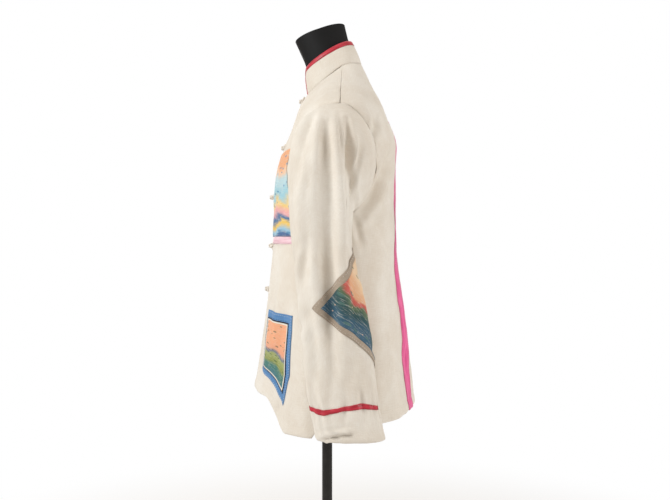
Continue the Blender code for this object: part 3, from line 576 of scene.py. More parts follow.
def shell(name, points, normals, outer, inner, finish, closed=False, maps=None):
    # A wall between two offsets from a grid. Each offset is a number or one for each point.
    rows, columns = points.shape[:2]
    layers = []
    for offset in (outer, inner):
        offset = np.broadcast_to(offset, (rows, columns))[..., None]
        layers.append((points + normals * offset).reshape(-1, 3))
    if maps is None:
        maps = np.stack([lengthsAlong(points, 1), lengthsAlong(points, 0)], axis=2)
    count = rows * columns
    last = columns if closed else columns - 1
    faces = []
    for j in range(rows - 1):
        for k in range(last):
            a, b = j * columns + k, j * columns + (k + 1) % columns
            faces.append((a, b, b + columns, a + columns))
            faces.append((count + a + columns, count + b + columns, count + b, count + a))
    for j in (0, rows - 1):
        for k in range(last):
            a, b = j * columns + k, j * columns + (k + 1) % columns
            faces.append((a, b, b + count, a + count))
    if not closed:
        for k in (0, columns - 1):
            for j in range(rows - 1):
                a, b = j * columns + k, (j + 1) * columns + k
                faces.append((a, b, b + count, a + count))
    flat = maps.reshape(-1, 2)
    return meshFrom(name, np.concatenate(layers), faces, np.concatenate([flat, flat]), finish)


def tube(paths, radius, sides, closed=False):
    # Points and faces of round tubes along paths, with rounded ends where they're open.
    points, faces, maps = [], [], []
    for path in paths:
        path = np.array(path, float)
        count = len(path)
        if closed:
            along = np.roll(path, -1, axis=0) - np.roll(path, 1, axis=0)
        else:
            along = np.gradient(path, axis=0)
        along /= np.maximum(np.linalg.norm(along, axis=1, keepdims=True), 1e-12)
        side = np.cross(along[0], (0.31, 0.22, 0.92))
        start = len(points)
        travelled = 0.0
        for i in range(count):
            side = side - along[i] * side.dot(along[i])
            side /= np.linalg.norm(side)
            other = np.cross(along[i], side)
            if i:
                travelled += np.linalg.norm(path[i] - path[i - 1])
            width = radius
            if not closed and i in (0, count - 1):
                width = radius * 0.55
            for k in range(sides):
                angle = math.tau * k / sides
                points.append(path[i] + (side * math.cos(angle) + other * math.sin(angle)) * width)
                maps.append((travelled, radius * angle))
        last = count if closed else count - 1
        for i in range(last):
            for k in range(sides):
                a, b = start + i * sides + k, start + i * sides + (k + 1) % sides
                after = start + ((i + 1) % count) * sides
                faces.append((a, b, after + (k + 1) % sides, after + k))
        if not closed:
            faces.append(tuple(start + k for k in reversed(range(sides))))
            faces.append(tuple(start + (count - 1) * sides + k for k in range(sides)))
    return points, faces, maps


def stitches(name, lines, finish, length=0.0030, gap=0.0014, radius=0.00028):
    # Rows of single stitches along lines of (point, normal), as one mesh.
    paths = []
    for points, normals in lines:
        points, normals = np.array(points), np.array(normals)
        steps = np.linalg.norm(np.diff(points, axis=0), axis=1)
        distance = np.concatenate([[0.0], np.cumsum(steps)])
        place = gap
        while place + length < distance[-1]:
            path = []
            for share, rise in ((0.0, -0.5), (0.25, 0.75), (0.75, 0.75), (1.0, -0.5)):
                at = place + length * share
                point = [np.interp(at, distance, points[:, i]) for i in range(3)]
                normal = [np.interp(at, distance, normals[:, i]) for i in range(3)]
                path.append(np.array(point) + np.array(normal) * (rise * radius - 0.00005))
            paths.append(path)
            place += length + gap
    return meshFrom(name, *tube(paths, radius, 5), finish)


# The jacket's body


def levelsFor(step):
    below = np.linspace(hem, underarm, int((underarm - hem) / step))[:-1]
    turns = int((shoulder - underarm) * 1.25 / step)
    through = [underarm + (shoulder - underarm) * (1.0 - math.cos(math.pi * k / turns)) / 2.0
               for k in range(turns + 1)]
    above = np.linspace(shoulder, neck, int((neck - shoulder) / step))[1:]
    return list(below) + through + list(above)


levels = levelsFor(spacing)


def panelSurface(back):
    rows = []
    for level in levels:
        ring = blendRows(bodyRows, level)
        if back:
            edge = 0.5 + armholeShare(level, armhole["back"]) + slitShare(level, slit["back"])
            turns = evenTurns(ring, edge + 0.0004, 1.0, int(0.30 / spacing))
        else:
            edge = 0.5 - armholeShare(level, armhole["front"]) - slitShare(level, slit["front"])
            turns = evenTurns(ring, 0.0004, edge - 0.0004, int(0.33 / spacing))
        half = [bodyPoint(t, level) for t in turns]
        if back:
            half += [Vector((-p.x, p.y, p.z)) for p in reversed(half[:-1])]
        rows.append(half)
    return Surface(rows, levels)


# Soft creases of the body. Those on the left are where the photograph shows them.
frontCreases = (
    Crease("front", ((0.165, 1.035), (0.110, 0.985), (0.060, 0.955)), (0.008, 0.012), 0.0036),
    Crease("front", ((0.170, 0.985), (0.120, 0.930), (0.085, 0.900)), (0.008, 0.010), 0.0030),
    Crease("front", ((0.095, 0.880), (0.088, 0.800), (0.096, 0.700), (0.110, 0.620)),
           (0.010, 0.016), 0.0044),
    Crease("front", ((0.150, 0.850), (0.155, 0.760), (0.150, 0.660)), (0.012,), -0.0034),
    Crease("front", ((0.045, 0.780), (0.040, 0.700), (0.050, 0.620)), (0.010, 0.014), 0.0032),
    Crease("front", ((0.018, 1.150), (0.060, 1.120), (0.100, 1.118)), (0.007, 0.010), 0.0024),
    Crease("left", ((0.040, 1.196), (-0.004, 1.160), (-0.038, 1.128)), (0.006, 0.009), 0.0026),
    Crease("left", ((0.022, 1.206), (-0.014, 1.186), (-0.040, 1.168)), (0.005, 0.007), 0.0016),
    Crease("left", ((-0.075, 0.760), (-0.090, 0.690), (-0.100, 0.610)), (0.010, 0.014), 0.0034),
    Crease("left", ((-0.050, 0.930), (-0.080, 0.890), (-0.105, 0.880)), (0.008,), 0.0024),
    Crease("left", ((-0.076, 0.640), (-0.082, 0.600), (-0.094, 0.560)), (0.006,), 0.0022),
)
backCreases = (
    Crease("back", ((0.165, 1.060), (0.120, 1.000), (0.080, 0.960)), (0.010, 0.012), 0.0040),
    Crease("back", ((0.180, 0.960), (0.140, 0.890), (0.100, 0.850)), (0.010,), 0.0030),
    Crease("back", ((0.060, 1.150), (0.050, 1.060), (0.060, 0.960)), (0.014, 0.018), 0.0030),
    Crease("back", ((0.000, 0.900), (0.006, 0.780), (0.000, 0.640)), (0.014, 0.020), 0.0040),
    Crease("back", ((0.070, 0.860), (0.078, 0.740), (0.070, 0.600)), (0.014,), -0.0034),
    Crease("back", ((0.150, 0.840), (0.162, 0.720), (0.170, 0.600)), (0.012, 0.016), 0.0040),
    Crease("left", ((0.081, 1.165), (0.095, 1.138), (0.095, 1.116), (0.080, 1.086)),
           (0.005, 0.0065), 0.0066),
    Crease("left", ((0.140, 1.082), (0.110, 1.024), (0.085, 0.980), (0.058, 0.944)),
           (0.007, 0.010), 0.0100),
    Crease("left", ((0.120, 1.010), (0.098, 0.962), (0.072, 0.930)), (0.007,), -0.0040),
    Crease("left", ((0.050, 0.948), (0.061, 0.912), (0.070, 0.880)), (0.006,), 0.0034),
    Crease("left", ((0.118, 0.930), (0.124, 0.860), (0.132, 0.780)), (0.011, 0.014), 0.0030),
    Crease("left", ((0.150, 0.830), (0.140, 0.750), (0.152, 0.660)), (0.010,), 0.0026),
    Crease("left", ((0.165, 0.700), (0.150, 0.640), (0.158, 0.580)), (0.008,), 0.0022),
)


def shoulderGive(surface):
    # How far the cloth can sink at each level before it would meet the form under it.
    given = []
    for level in surface.rowValues:
        below = 0.0060 * smooth((1.150 - level) / 0.035)
        above = 0.0036 * smooth((level - shoulder) / (neck - shoulder))
        given.append(0.0006 + below + above if level > 1.110 else 1.0)
    return np.array(given)[:, None]


def softCloth(surface, creases, seed, give=1.0):
    # Creases, a slow swell, fine rumples, and small puckers beside the seams and hem.
    moved = -pressCreases(surface, creases, seed)
    points = surface.points
    moved += 0.0016 * noiseOver(points, (0.060, 0.060, 0.110), seed)
    moved += 0.0007 * noiseOver(points, (0.022, 0.022, 0.034), seed + 5)
    moved += 0.00025 * noiseOver(points, (0.009, 0.009, 0.012), seed + 9)
    moved = np.maximum(moved, -give)
    surface.points = points + surface.normals * moved[..., None]


def puckers(surface, distance, reach, seed, depth=0.0006, length=0.012):
    # Small gathers where a seam holds the cloth, fading with the distance from it.
    along = noiseOver(surface.points, (length, length, length), seed)
    fade = np.exp(-(distance / reach) ** 2)
    surface.points = surface.points + surface.normals * (along * depth * fade)[..., None]


def edgeDistances(surface):
    # How far each point is from the panel's first column, last column, lowest and top row.
    across = lengthsAlong(surface.points, 1)
    return (across, across[:, -1:] - across, *heightsOf(surface))


hemWidth = 0.020


def finishPanel(surface, seed):
    first, last, low, high = edgeDistances(surface)
    puckers(surface, last, 0.012, seed)
    puckers(surface, low, 0.020, seed + 2, 0.0008, 0.016)
    # The hem's fold is a soft roll, with a shallow groove where it is stitched.
    groove = 0.0005 * np.exp(-((low - hemWidth) / 0.0016) ** 2)
    ridge = 0.0006 * np.exp(-((low - 0.008) / 0.006) ** 2)
    surface.points = surface.points + surface.normals * (ridge - groove)[..., None]
    surface.refresh()


def panelShell(name, surface):
    # The wall is double in the hem, where the cloth is turned up inside.
    _, _, low, _ = edgeDistances(surface)
    turned = np.clip((hemWidth + 0.002 - low) / 0.003, 0.0, 1.0)
    inner = -(wall + 0.0012 * turned)
    edge = np.clip(low / 0.0024, 0.0, 1.0)
    outer = -0.0009 * (1.0 - edge) ** 2
    return shell(name, surface.points, surface.normals, outer, inner, cotton)


leftFront = panelSurface(False)
rightFront = leftFront.mirrored()
backPanel = panelSurface(True)
softCloth(leftFront, frontCreases, 3, give=shoulderGive(leftFront))
softCloth(rightFront, mirroredCreases(frontCreases), 4, give=shoulderGive(rightFront))
softCloth(backPanel, backCreases + tuple(mirroredCreases(backCreases)), 5,
          give=shoulderGive(backPanel))
for number, surface in enumerate((leftFront, rightFront, backPanel)):
    surface.refresh()
    finishPanel(surface, 20 + number)
panels = {"front_left": leftFront, "front_right": rightFront, "back": backPanel}
panelPieces = {name: panelShell("cloth_" + name, surface) for name, surface in panels.items()}
for name, piece in panelPieces.items():
    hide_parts(name)
print("body panels sewn")


# The sleeves


def sleeveRing(row, sides):
    innerX, innerZ, outerX, outerZ, front, back, middle, squareness = row
    inner, outer = Vector((innerX, 0.0, innerZ)), Vector((outerX, 0.0, outerZ))
    centre, arm = (inner + outer) / 2.0, (outer - inner) / 2.0
    power = 2.0 / squareness
    ring = []
    for k in range(sides):
        angle = math.tau * k / sides
        along = math.copysign(abs(math.cos(angle)) ** power, math.cos(angle))
        side = math.copysign(abs(math.sin(angle)) ** power, math.sin(angle))
        y = middle + ((front if side > 0.0 else back) - middle) * abs(side)
        ring.append(centre + arm * along + Vector((0.0, y, 0.0)))
    return ring


def armholeEdge(sides):
    # From the shoulder point down the front edge to the underarm, and up the back edge.
    edge = []
    for k in range(sides):
        angle = math.tau * k / sides
        level = underarm + (shoulder - underarm) * (1.0 + math.cos(angle)) / 2.0
        if k * 2 <= sides:
            turn = 0.5 - armholeShare(level, armhole["front"])
        else:
            turn = 0.5 + armholeShare(level, armhole["back"])
        edge.append(bodyPoint(turn, level))
    return edge


def sleeveSurface():
    sides = int(0.42 / spacing)
    rings = []
    for index, row in enumerate(sleeveRows):
        ring = sleeveRing(row, sides)
        centre = sum(ring, Vector()) / sides
        share = smooth(index / 3.0)
        for k, p in enumerate(ring):
            turn = 360.0 * k / sides
            turn = turn - 360.0 if turn > 180.0 else turn
            ring[k] = p - (p - centre).normalized() * foldDepth(sleeveFolds, turn, p.z) * share
        rings.append(ring)
    edge = np.array(armholeEdge(sides))
    centre = edge.mean(axis=0)
    edge += (edge - centre) / np.linalg.norm(edge - centre, axis=1, keepdims=True) * -seamGap
    rings = np.concatenate([edge[None], np.array(rings)])
    rows, places = [], []
    last = len(rings) - 1
    for j in range(last):
        span = np.linalg.norm(rings[j + 1] - rings[j], axis=1).max()
        steps = max(3, int(span / spacing))
        for step in range(steps):
            t = step / steps
            around = [rings[min(last, max(0, j + k))] for k in (-1, 0, 1, 2)]
            rows.append(cubic(*around, t))
            places.append(j + t)
    rows.append(rings[-1])
    places.append(float(last))
    return Surface(rows, places, closed=True)


# The sleeve's creases, as the photograph shows them from its outer side.
sleeveCreases = (
    Crease("left", ((-0.0201, 1.1315), (-0.0377, 1.0918), (-0.0527, 1.0389), (-0.0615, 0.9859)),
           (0.0070, 0.0115, 0.0105), 0.0100),
    Crease("left", ((0.0002, 1.1095), (0.0029, 1.0653), (0.0064, 1.0124), (0.0064, 0.9559),
                    (0.0064, 0.8676), (0.0082, 0.8182), (0.0099, 0.7176), (0.0099, 0.6188)),
           (0.0070, 0.0125, 0.0125, 0.0115), 0.0105),
    Crease("left", ((-0.0112, 1.1250), (-0.0201, 1.0212), (-0.0236, 0.9506)), (0.0075,), -0.0050),
    Crease("left", ((0.0152, 1.1315), (0.0205, 1.0442), (0.0294, 0.9559), (0.0355, 0.8888)),
           (0.0055, 0.0075), -0.0062),
    Crease("left", ((0.0235, 1.1300), (0.0280, 1.0653), (0.0320, 1.0250)), (0.0028,), 0.0020),
    Crease("left", ((0.0382, 1.1180), (0.0417, 1.0742), (0.0435, 1.0300), (0.0488, 0.9859),
                    (0.0540, 0.9400)), (0.0045, 0.0065, 0.0045), 0.0130),
    Crease("left", ((0.0560, 1.0918), (0.0500, 1.0389), (0.0490, 1.0100)), (0.0045,), -0.0040),
    Crease("left", ((0.0660, 1.0706), (0.0560, 1.0389), (0.0500, 0.9947)), (0.0050,), 0.0040),
    Crease("left", ((-0.0360, 0.8888), (-0.0395, 0.8535), (-0.0448, 0.8094)), (0.0095,), 0.0070),
    Crease("left", ((-0.0480, 0.9400), (-0.0420, 0.8900), (-0.0470, 0.8400)), (0.0070,), -0.0026),
    Crease("left", ((0.0440, 0.8600), (0.0520, 0.7600), (0.0600, 0.6600)), (0.0110,), 0.0044),
    Crease("left", ((-0.0250, 0.7600), (-0.0140, 0.7000), (-0.0160, 0.6400)), (0.0100,), 0.0052),
    Crease("left", ((0.0300, 0.6500), (0.0360, 0.6100), (0.0340, 0.5750)), (0.0060,), 0.0036),
    Crease("left", ((0.0600, 0.6600), (0.0640, 0.6100), (0.0700, 0.5650)), (0.0070,), 0.0036),
    Crease("left", ((0.0280, 0.7300), (0.0420, 0.6900), (0.0500, 0.6400)), (0.0080,), 0.0040),
    Crease("left", ((-0.0260, 0.6500), (-0.0180, 0.6200), (-0.0120, 0.5900)), (0.0060,), 0.0034),
    Crease("left", ((-0.0100, 0.5540), (0.0100, 0.5600), (0.0300, 0.5640), (0.0500, 0.5650)),
           (0.0032,), -0.0062),
    Crease("left", ((-0.0060, 0.5460), (0.0140, 0.5530), (0.0300, 0.5560), (0.0460, 0.5590)),
           (0.0024,), 0.0052),
    Crease("front", ((0.250, 1.080), (0.262, 0.960), (0.256, 0.840)), (0.0090,), 0.0032),
    Crease("front", ((0.285, 0.900), (0.262, 0.860), (0.240, 0.850)), (0.0080,), 0.0034),
    Crease("front", ((0.290, 0.780), (0.268, 0.740), (0.245, 0.735)), (0.0080,), 0.0028),
    Crease("back", ((0.240, 1.000), (0.262, 0.930), (0.258, 0.860)), (0.0100,), 0.0038),
    Crease("back", ((0.288, 0.880), (0.262, 0.835), (0.238, 0.820)), (0.0090,), 0.0036),
    Crease("back", ((0.290, 0.740), (0.268, 0.700), (0.245, 0.690)), (0.0080,), 0.0028),
    Crease("right", ((0.010, 0.880), (0.004, 0.780), (0.014, 0.680)), (0.0110,), 0.0034),
)
cuff = {"strap": 14.55, "strapWidth": 0.0086, "turnUp": 0.016}


def strapRow(share):
    # The strap's height round the sleeve, as a row of the sleeve: it dips at the front.
    turn = (np.asarray(share) * 360.0 + 180.0) % 360.0 - 180.0
    raised = 0.42 * np.exp(-((turn + 28.0) / 32.0) ** 2)
    dipped = 0.30 * np.exp(-((turn - 42.0) / 24.0) ** 2)
    return cuff["strap"] - raised + dipped


def finishSleeve(surface, creases, seed):
    softCloth(surface, creases, seed)
    surface.refresh()
    up, low = heightsOf(surface)
    puckers(surface, up, 0.012, seed, 0.0008)
    puckers(surface, low, 0.022, seed + 3, 0.0011, 0.010)
    # The strap draws the sleeve in a little, in small gathers.
    rows, columns = surface.points.shape[:2]
    share = np.arange(columns) / columns
    gap = (surface.rowValues[:, None] - strapRow(share)[None]) * 0.014
    drawn = 0.0016 * np.exp(-(gap / 0.012) ** 2)
    gathers = 0.0010 * np.exp(-(gap / 0.020) ** 2) * np.sin(share * math.tau * 19.0 + seed)[None]
    groove = 0.0004 * np.exp(-((low - cuff["turnUp"]) / 0.0016) ** 2)
    ridge = 0.0006 * np.exp(-((low - 0.007) / 0.006) ** 2)
    moved = ridge - groove - drawn - gathers
    surface.points = surface.points + surface.normals * moved[..., None]
    surface.refresh()


leftSleeve = sleeveSurface()
rightSleeve = leftSleeve.mirrored()
finishSleeve(leftSleeve, sleeveCreases, 31)
finishSleeve(rightSleeve, mirroredCreases(sleeveCreases), 33)
sleeves = {"left": leftSleeve, "right": rightSleeve}
for side, surface in sleeves.items():
    _, low = heightsOf(surface)
    turned = np.clip((cuff["turnUp"] + 0.002 - low) / 0.003, 0.0, 1.0)
    outer = -0.0008 * (1.0 - np.clip(low / 0.0022, 0.0, 1.0)) ** 2
    piece = shell("cloth_sleeve_" + side, surface.points, surface.normals, outer,
                  -(wall + 0.0010 * turned), cotton, closed=True)
    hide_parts("sleeve_" + side)
print("sleeves sewn")


# Pieces sewn on the cloth

surfaces = {"front_left": leftFront, "front_right": rightFront, "back": backPanel,
            "sleeve_left": leftSleeve, "sleeve_right": rightSleeve}


def patch(name, surface, corners, size, lift, thickness, finish, node, soft=0.0012, mapped=True):
    # A sheet laid on a surface between four corners of (row value, share), lower first.
    # Its edge rolls down over a short distance, and its map runs from 0 to 1.
    (r0, c0), (r1, c1), (r2, c2), (r3, c3) = corners
    acrossCount, upCount = (max(6, int(length / (spacing * 0.75))) for length in size)
    a = np.linspace(0.0, 1.0, acrossCount)[None, :]
    b = np.linspace(0.0, 1.0, upCount)[:, None]
    row = (r0 * (1 - a) + r1 * a) * (1 - b) + (r3 * (1 - a) + r2 * a) * b
    share = (c0 * (1 - a) + c1 * a) * (1 - b) + (c3 * (1 - a) + c2 * a) * b
    points, normals = surface.at(row, share)
    edge = np.minimum(np.minimum(a, 1 - a) * size[0] + 0 * b, np.minimum(b, 1 - b) * size[1] + 0 * a)
    rounded = np.sqrt(np.clip(edge / soft, 0.0, 1.0))
    outer = lift + thickness * (0.35 + 0.65 * rounded)
    uneven = 0.0002 * noiseOver(points, (0.014, 0.014, 0.014), len(name))
    if mapped:
        maps = np.stack([a + 0 * b, b + 0 * a], axis=2)
        maps = maps * (1.0, size[1] / size[0])
    else:
        maps = np.stack([a * size[0] + 0 * b, b * size[1] + 0 * a], axis=2)
    piece = shell(name, points, normals, outer + np.abs(uneven), lift, finish, maps=maps)
    if node:
        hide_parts(node)
    return piece


def drawnIn(corners, share):
    # A patch's corners, moved towards its middle.
    middle = [sum(axis) / 4.0 for axis in zip(*corners)]
    return [tuple(m + (p - m) * (1.0 - share) for p, m in zip(corner, middle)) for corner in corners]


def outline(corners, inset, steps=24):
    # Places along the edges of a patch, drawn in a little from its corners' outline.
    drawn = drawnIn(corners, inset)
    sides = []
    for (r0, c0), (r1, c1) in zip(drawn, drawn[1:] + drawn[:1]):
        share = np.linspace(0.0, 1.0, steps)
        sides.append((r0 + (r1 - r0) * share, c0 + (c1 - c0) * share))
    return sides


def sewnLine(surface, row, share, lift):
    points, normals = surface.at(row, share)
    return points + normals * lift, normals


def frameLines(surface, corners, insets, lift):
    lines = []
    for inset in insets:
        for row, share in outline(corners, inset):
            lines.append(sewnLine(surface, row, share, lift))
    return lines


pocket = {"top": 0.753, "frontBottom": 0.618, "rearBottom": 0.588, "front": 4.0 / 11.0,
          "rear": 7.75 / 11.0, "border": 0.15, "lift": 0.0006, "thickness": 0.0011}
chest = {"top": 1.082, "ribbon": 0.905, "bottom": 0.889, "front": 3.0 / 11.0, "rear": 10.0 / 11.0,
         "lift": 0.0006, "thickness": 0.0011}
elbow = {"row": 9.3, "halfRows": 2.9, "turn": 268.0 / 360.0, "halfTurn": 130.0 / 360.0,
         "border": 0.13, "lift": 0.0007, "thickness": 0.0011}


pocketCorners = [(pocket["frontBottom"], pocket["front"]), (pocket["rearBottom"], pocket["rear"]),
                 (pocket["top"], pocket["rear"]), (pocket["top"], pocket["front"])]
elbowCorners = [(elbow["row"] + elbow["halfRows"], elbow["turn"]),
                (elbow["row"], elbow["turn"] + elbow["halfTurn"]),
                (elbow["row"] - elbow["halfRows"], elbow["turn"]),
                (elbow["row"], elbow["turn"] - elbow["halfTurn"])]
patchLines, darkLines = [], []
for side in ("left", "right"):
    panel, sleeve = surfaces["front_" + side], surfaces["sleeve_" + side]
    over = pocket["lift"] + pocket["thickness"]
    frameSize, pictureSize = (0.098, 0.150), (0.078, 0.120)
    frame = patch("pocket_border_" + side, panel, pocketCorners, frameSize, pocket["lift"],
                  pocket["thickness"], blueCotton, "pocket_frame_" + side, mapped=False)
    inner = drawnIn(pocketCorners, pocket["border"] * 1.35)
    picture = patch("pocket_picture_" + side, panel, inner, pictureSize, over + 0.0001, 0.0006,
                    pocketPrint, "pocket_panel_" + side)
    "cloth_front_" + side
    patchLines += frameLines(panel, pocketCorners, (0.05,), over)
    darkLines += frameLines(panel, inner, (-0.03,), over)
    over = elbow["lift"] + elbow["thickness"]
    frame = patch("elbow_border_" + side, sleeve, elbowCorners, (0.165, 0.165), elbow["lift"],
                  elbow["thickness"], taupeCotton, "elbow_frame_" + side, mapped=False)
    inner = drawnIn(elbowCorners, elbow["border"])
    picture = patch("elbow_picture_" + side, sleeve, inner, (0.143, 0.143), over + 0.0001, 0.0006,
                    elbowPrint, "elbow_panel_" + side)
    "cloth_sleeve_" + side
    patchLines += frameLines(sleeve, elbowCorners, (0.04,), over)
chestCorners = [(chest["ribbon"] + 0.0004, chest["front"]), (chest["ribbon"] + 0.0004, chest["rear"]),
                (chest["top"], chest["rear"]), (chest["top"], chest["front"])]
ribbonCorners = [(chest["bottom"], chest["front"]), (chest["bottom"], chest["rear"]),
                 (chest["ribbon"], chest["rear"]), (chest["ribbon"], chest["front"])]
chestPicture = patch("chest_picture", leftFront, chestCorners, (0.150, 0.177), chest["lift"],
                     chest["thickness"], chestPrint, "chest_panel")
chestRibbon = patch("chest_ribbon_band", leftFront, ribbonCorners, (0.150, 0.016), chest["lift"],
                    chest["thickness"], paleRibbon, "chest_ribbon", mapped=False)
patchLines += frameLines(leftFront, chestCorners, (0.03,), chest["lift"] + chest["thickness"])


# The tape down the back lies on the left half, a little nearer the side towards the hem.
tape = {"rows": ((hem, 0.096), (0.62, 0.096), (0.70, 0.078), (0.82, 0.075), (0.95, 0.042),
                 (1.187, 0.034)),
        "top": 1.157, "width": 0.034, "lift": 0.0006, "thickness": 0.0011, "columns": 14}


def tapeGrid():
    up = np.array([level for level in levels if level <= tape["top"]])
    centre = []
    for level in up:
        for (low, a), (high, b) in zip(tape["rows"], tape["rows"][1:]):
            if low <= level <= high:
                centre.append(a + (b - a) * smooth((level - low) / (high - low)))
                break
    rows = backPanel.points[:len(up)]
    middle = rows.shape[1] // 2
    share = np.empty((len(up), tape["columns"]))
    for j, row in enumerate(rows):
        half = row[middle::-1]
        distance = np.concatenate([[0.0], np.cumsum(np.linalg.norm(np.diff(half, axis=0), axis=1))])
        wanted = centre[j] + tape["width"] * np.linspace(-0.5, 0.5, tape["columns"])
        share[j] = (middle - np.interp(wanted, distance, np.arange(len(half)))) / (rows.shape[1] - 1)
    return np.broadcast_to(up[:, None], share.shape), share


tapeRow, tapeShare = tapeGrid()
points, normals = backPanel.at(tapeRow, tapeShare)
acrossTape = np.linspace(-1.0, 1.0, tape["columns"])[None]
tapeWaves = 0.0003 * noiseOver(points, (0.020, 0.020, 0.007), 61)
outer = tape["lift"] + tape["thickness"] * (1.0 - 0.55 * np.abs(acrossTape) ** 6) + np.abs(tapeWaves)
tapeMaps = np.stack([lengthsAlong(points, 0), lengthsAlong(points, 1)], axis=2)
backTape = shell("back_tape_band", points, normals, outer, tape["lift"], pinkTape, maps=tapeMaps)
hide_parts("back_tape")
tapeLines = [(points[:, k] + normals[:, k] * (tape["lift"] + tape["thickness"]), normals[:, k])
             for k in (1, tape["columns"] - 2)]

# The cuff straps cross the outer half of each sleeve and are sewn at both ends. The thick, close dark red
# stitches at each end are painted shade, where the ribbon turns round the sleeve.
strap = {"rear": -4.0 / 20.0, "front": 4.6 / 20.0, "lift": 0.0006, "thickness": 0.0012}
strapLines, strapEndShadeStitches = [], []
for side in ("left", "right"):
    sleeve = surfaces["sleeve_" + side]
    share = np.linspace(strap["rear"], strap["front"], 90)[None, :]
    across = np.linspace(-0.5, 0.5, 9)[:, None]
    row = strapRow(share) - across * cuff["strapWidth"] / 0.0140
    points, normals = sleeve.at(row, share + 0.0 * across)
    outer = strap["lift"] + strap["thickness"] * (1.0 - 0.6 * np.abs(across * 2.0) ** 6)
    outer = outer + 0.0003 * np.abs(noiseOver(points, (0.006, 0.012, 0.02), 71))
    piece = shell("strap_" + side, points, normals, outer, strap["lift"], redSatin)
    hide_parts("cuff_strap_" + side)
    "cloth_sleeve_" + side
    top = points + normals * (strap["lift"] + strap["thickness"])
    strapLines += [(top[k], normals[k]) for k in (1, 7)]
    # Lines across the strap near both its ends, where close dark red stitches paint the shade of the
    # ribbon's turning.
    strapEndShadeStitches += [(top[:, k], normals[:, k]) for k in (1, 4, 85, 88)]
print("patches, tape and straps sewn on")

# The collar

collar = {"corner": 0.016, "frontGap": 0.0022, "halfLength": 0.15, "middle": 0.012, "bulge": 0.002,
          "binding": 0.0095, "bindingWall": 0.0026, "clear": 0.00075}


def collarPoint(turn, rise):
    base, top = ringPoint(bodyRows[-1], abs(turn)), ringPoint(collarTop, abs(turn))
    point = base.lerp(top, rise)
    outward = Vector((point.x, point.y - collar["middle"], 0.0)).normalized()
    point += outward * collar["bulge"] * math.sin(math.pi * min(1.0, max(0.0, rise)))
    if turn < 0.0:
        point.x = -point.x
    return point


def collarNormal(turn, rise):
    step = 0.004
    across = collarPoint(turn + step, rise) - collarPoint(turn - step, rise)
    up = collarPoint(turn, rise + step) - collarPoint(turn, rise - step)
    normal = across.cross(up).normalized()
    inside = Vector((0.0, collar["middle"], collarTop.level))
    return -normal if normal.dot(inside - collarPoint(turn, rise)) > 0.0 else normal


def collarParts():
    # The collar is laid out by length from its left front edge, and by height over the seam.
    start = collar["frontGap"] / collar["halfLength"]
    half = [start + (1.0 - start) * (k / 40.0) for k in range(41)]
    turns = half + [2.0 - t for t in reversed(half[:-1])]

    def signed(turn):
        return turn - 2.0 if turn > 1.0 else turn

    middles = [collarPoint(signed(t), 0.5) for t in turns]
    along = [0.0]
    for a, b in zip(middles, middles[1:]):
        along.append(along[-1] + (b - a).length)
    full = [(collarPoint(signed(t), 1.0) - collarPoint(signed(t), 0.0)).length for t in turns]
    total = along[-1]

    def place(distance, height):
        turn = signed(float(np.interp(distance, along, turns)))
        rise = height / float(np.interp(distance, along, full))
        return collarPoint(turn, rise), collarNormal(turn, rise)

    def tops(distances, inset, corner):
        # The outline's height, rounded at the front corners, less the inset from it.
        height = np.interp(distances, along, full) - inset
        near = np.minimum(distances, total - distances) - inset
        drop = corner - np.sqrt(np.maximum(0.0, corner ** 2 - np.clip(corner - near, 0.0, None) ** 2))
        return height - np.where(near < corner, drop, 0.0)

    inset = collar["binding"] + collar["clear"]
    corner = collar["corner"] - collar["binding"]
    ends = inset + corner * (1.0 - np.cos(np.linspace(0.0, math.pi / 2.0, 8)))
    middle = np.linspace(ends[-1], total - ends[-1], 110)[1:-1]
    distances = np.concatenate([ends, middle, (total - ends)[::-1]])
    high = tops(distances, inset, corner)
    cloth = [[place(d, seamGap + (top - seamGap) * share) for d, top in zip(distances, high)]
             for share in np.linspace(0.0, 1.0, 14)]

    def edge(insetBy):
        # The binding's path at one distance from the outline, from the left seam to the right.
        corner = collar["corner"] - insetBy
        first = float(np.interp(0.0, along, full))
        path = [(insetBy, seamGap + (first - insetBy - corner - seamGap) * k / 8.0) for k in range(8)]
        path += [(insetBy + corner * (1.0 - math.cos(a)), first - insetBy - corner * (1.0 - math.sin(a)))
                 for a in np.linspace(0.0, math.pi / 2.0, 12)]
        top = [(d, float(np.interp(d, along, full)) - insetBy)
               for d in np.linspace(collar["corner"], total - collar["corner"], 120)[1:-1]]
        return path + top + [(total - d, z) for d, z in reversed(path)]

    binding = [[place(d, z) for d, z in edge(collar["binding"] * share)]
               for share in np.linspace(0.0, 1.0, 12)]
    return cloth, binding


def asArrays(pairs):
    return (np.array([[p for p, _ in row] for row in pairs]),
            np.array([[n for _, n in row] for row in pairs]))


clothPairs, bindingPairs = collarParts()
points, normals = asArrays(clothPairs)
waves = 0.0004 * noiseOver(points, (0.020, 0.020, 0.016), 81)
collarPiece = shell("stand_collar", points, normals, waves, waves - wall, cotton)
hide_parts("collar")
collarLines = [(points[k] + normals[k] * waves[k][:, None], normals[k]) for k in (1, 12)]
points, normals = asArrays(bindingPairs)
across = np.linspace(-1.0, 1.0, len(points))[:, None]
rounded = np.sqrt(np.clip(1.0 - 0.90 * across ** 4, 0.0, 1.0))
thick = collar["bindingWall"] / 2.0
ripple = 0.00025 * noiseOver(points, (0.006, 0.006, 0.006), 83)
bindingMaps = np.stack([lengthsAlong(points, 1), lengthsAlong(points, 0)], axis=2)
bindingPiece = shell("collar_edge_binding", points - normals * (wall / 2.0), normals,
                     thick * rounded + ripple, -thick * rounded, redSatin, maps=bindingMaps)
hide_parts("collar_binding")
top = points + normals * (thick - wall / 2.0)
bindingLines = [(top[9], normals[9])]
print("collar sewn")

# Ball knots and cords down the front

knots = {"heights": (1.1985, 1.0990, 0.9940, 0.8890, 0.7950), "radius": 0.0062, "cord": 0.0017,
         "reach": 0.0455, "lift": 0.0005, "strands": 0.00125}


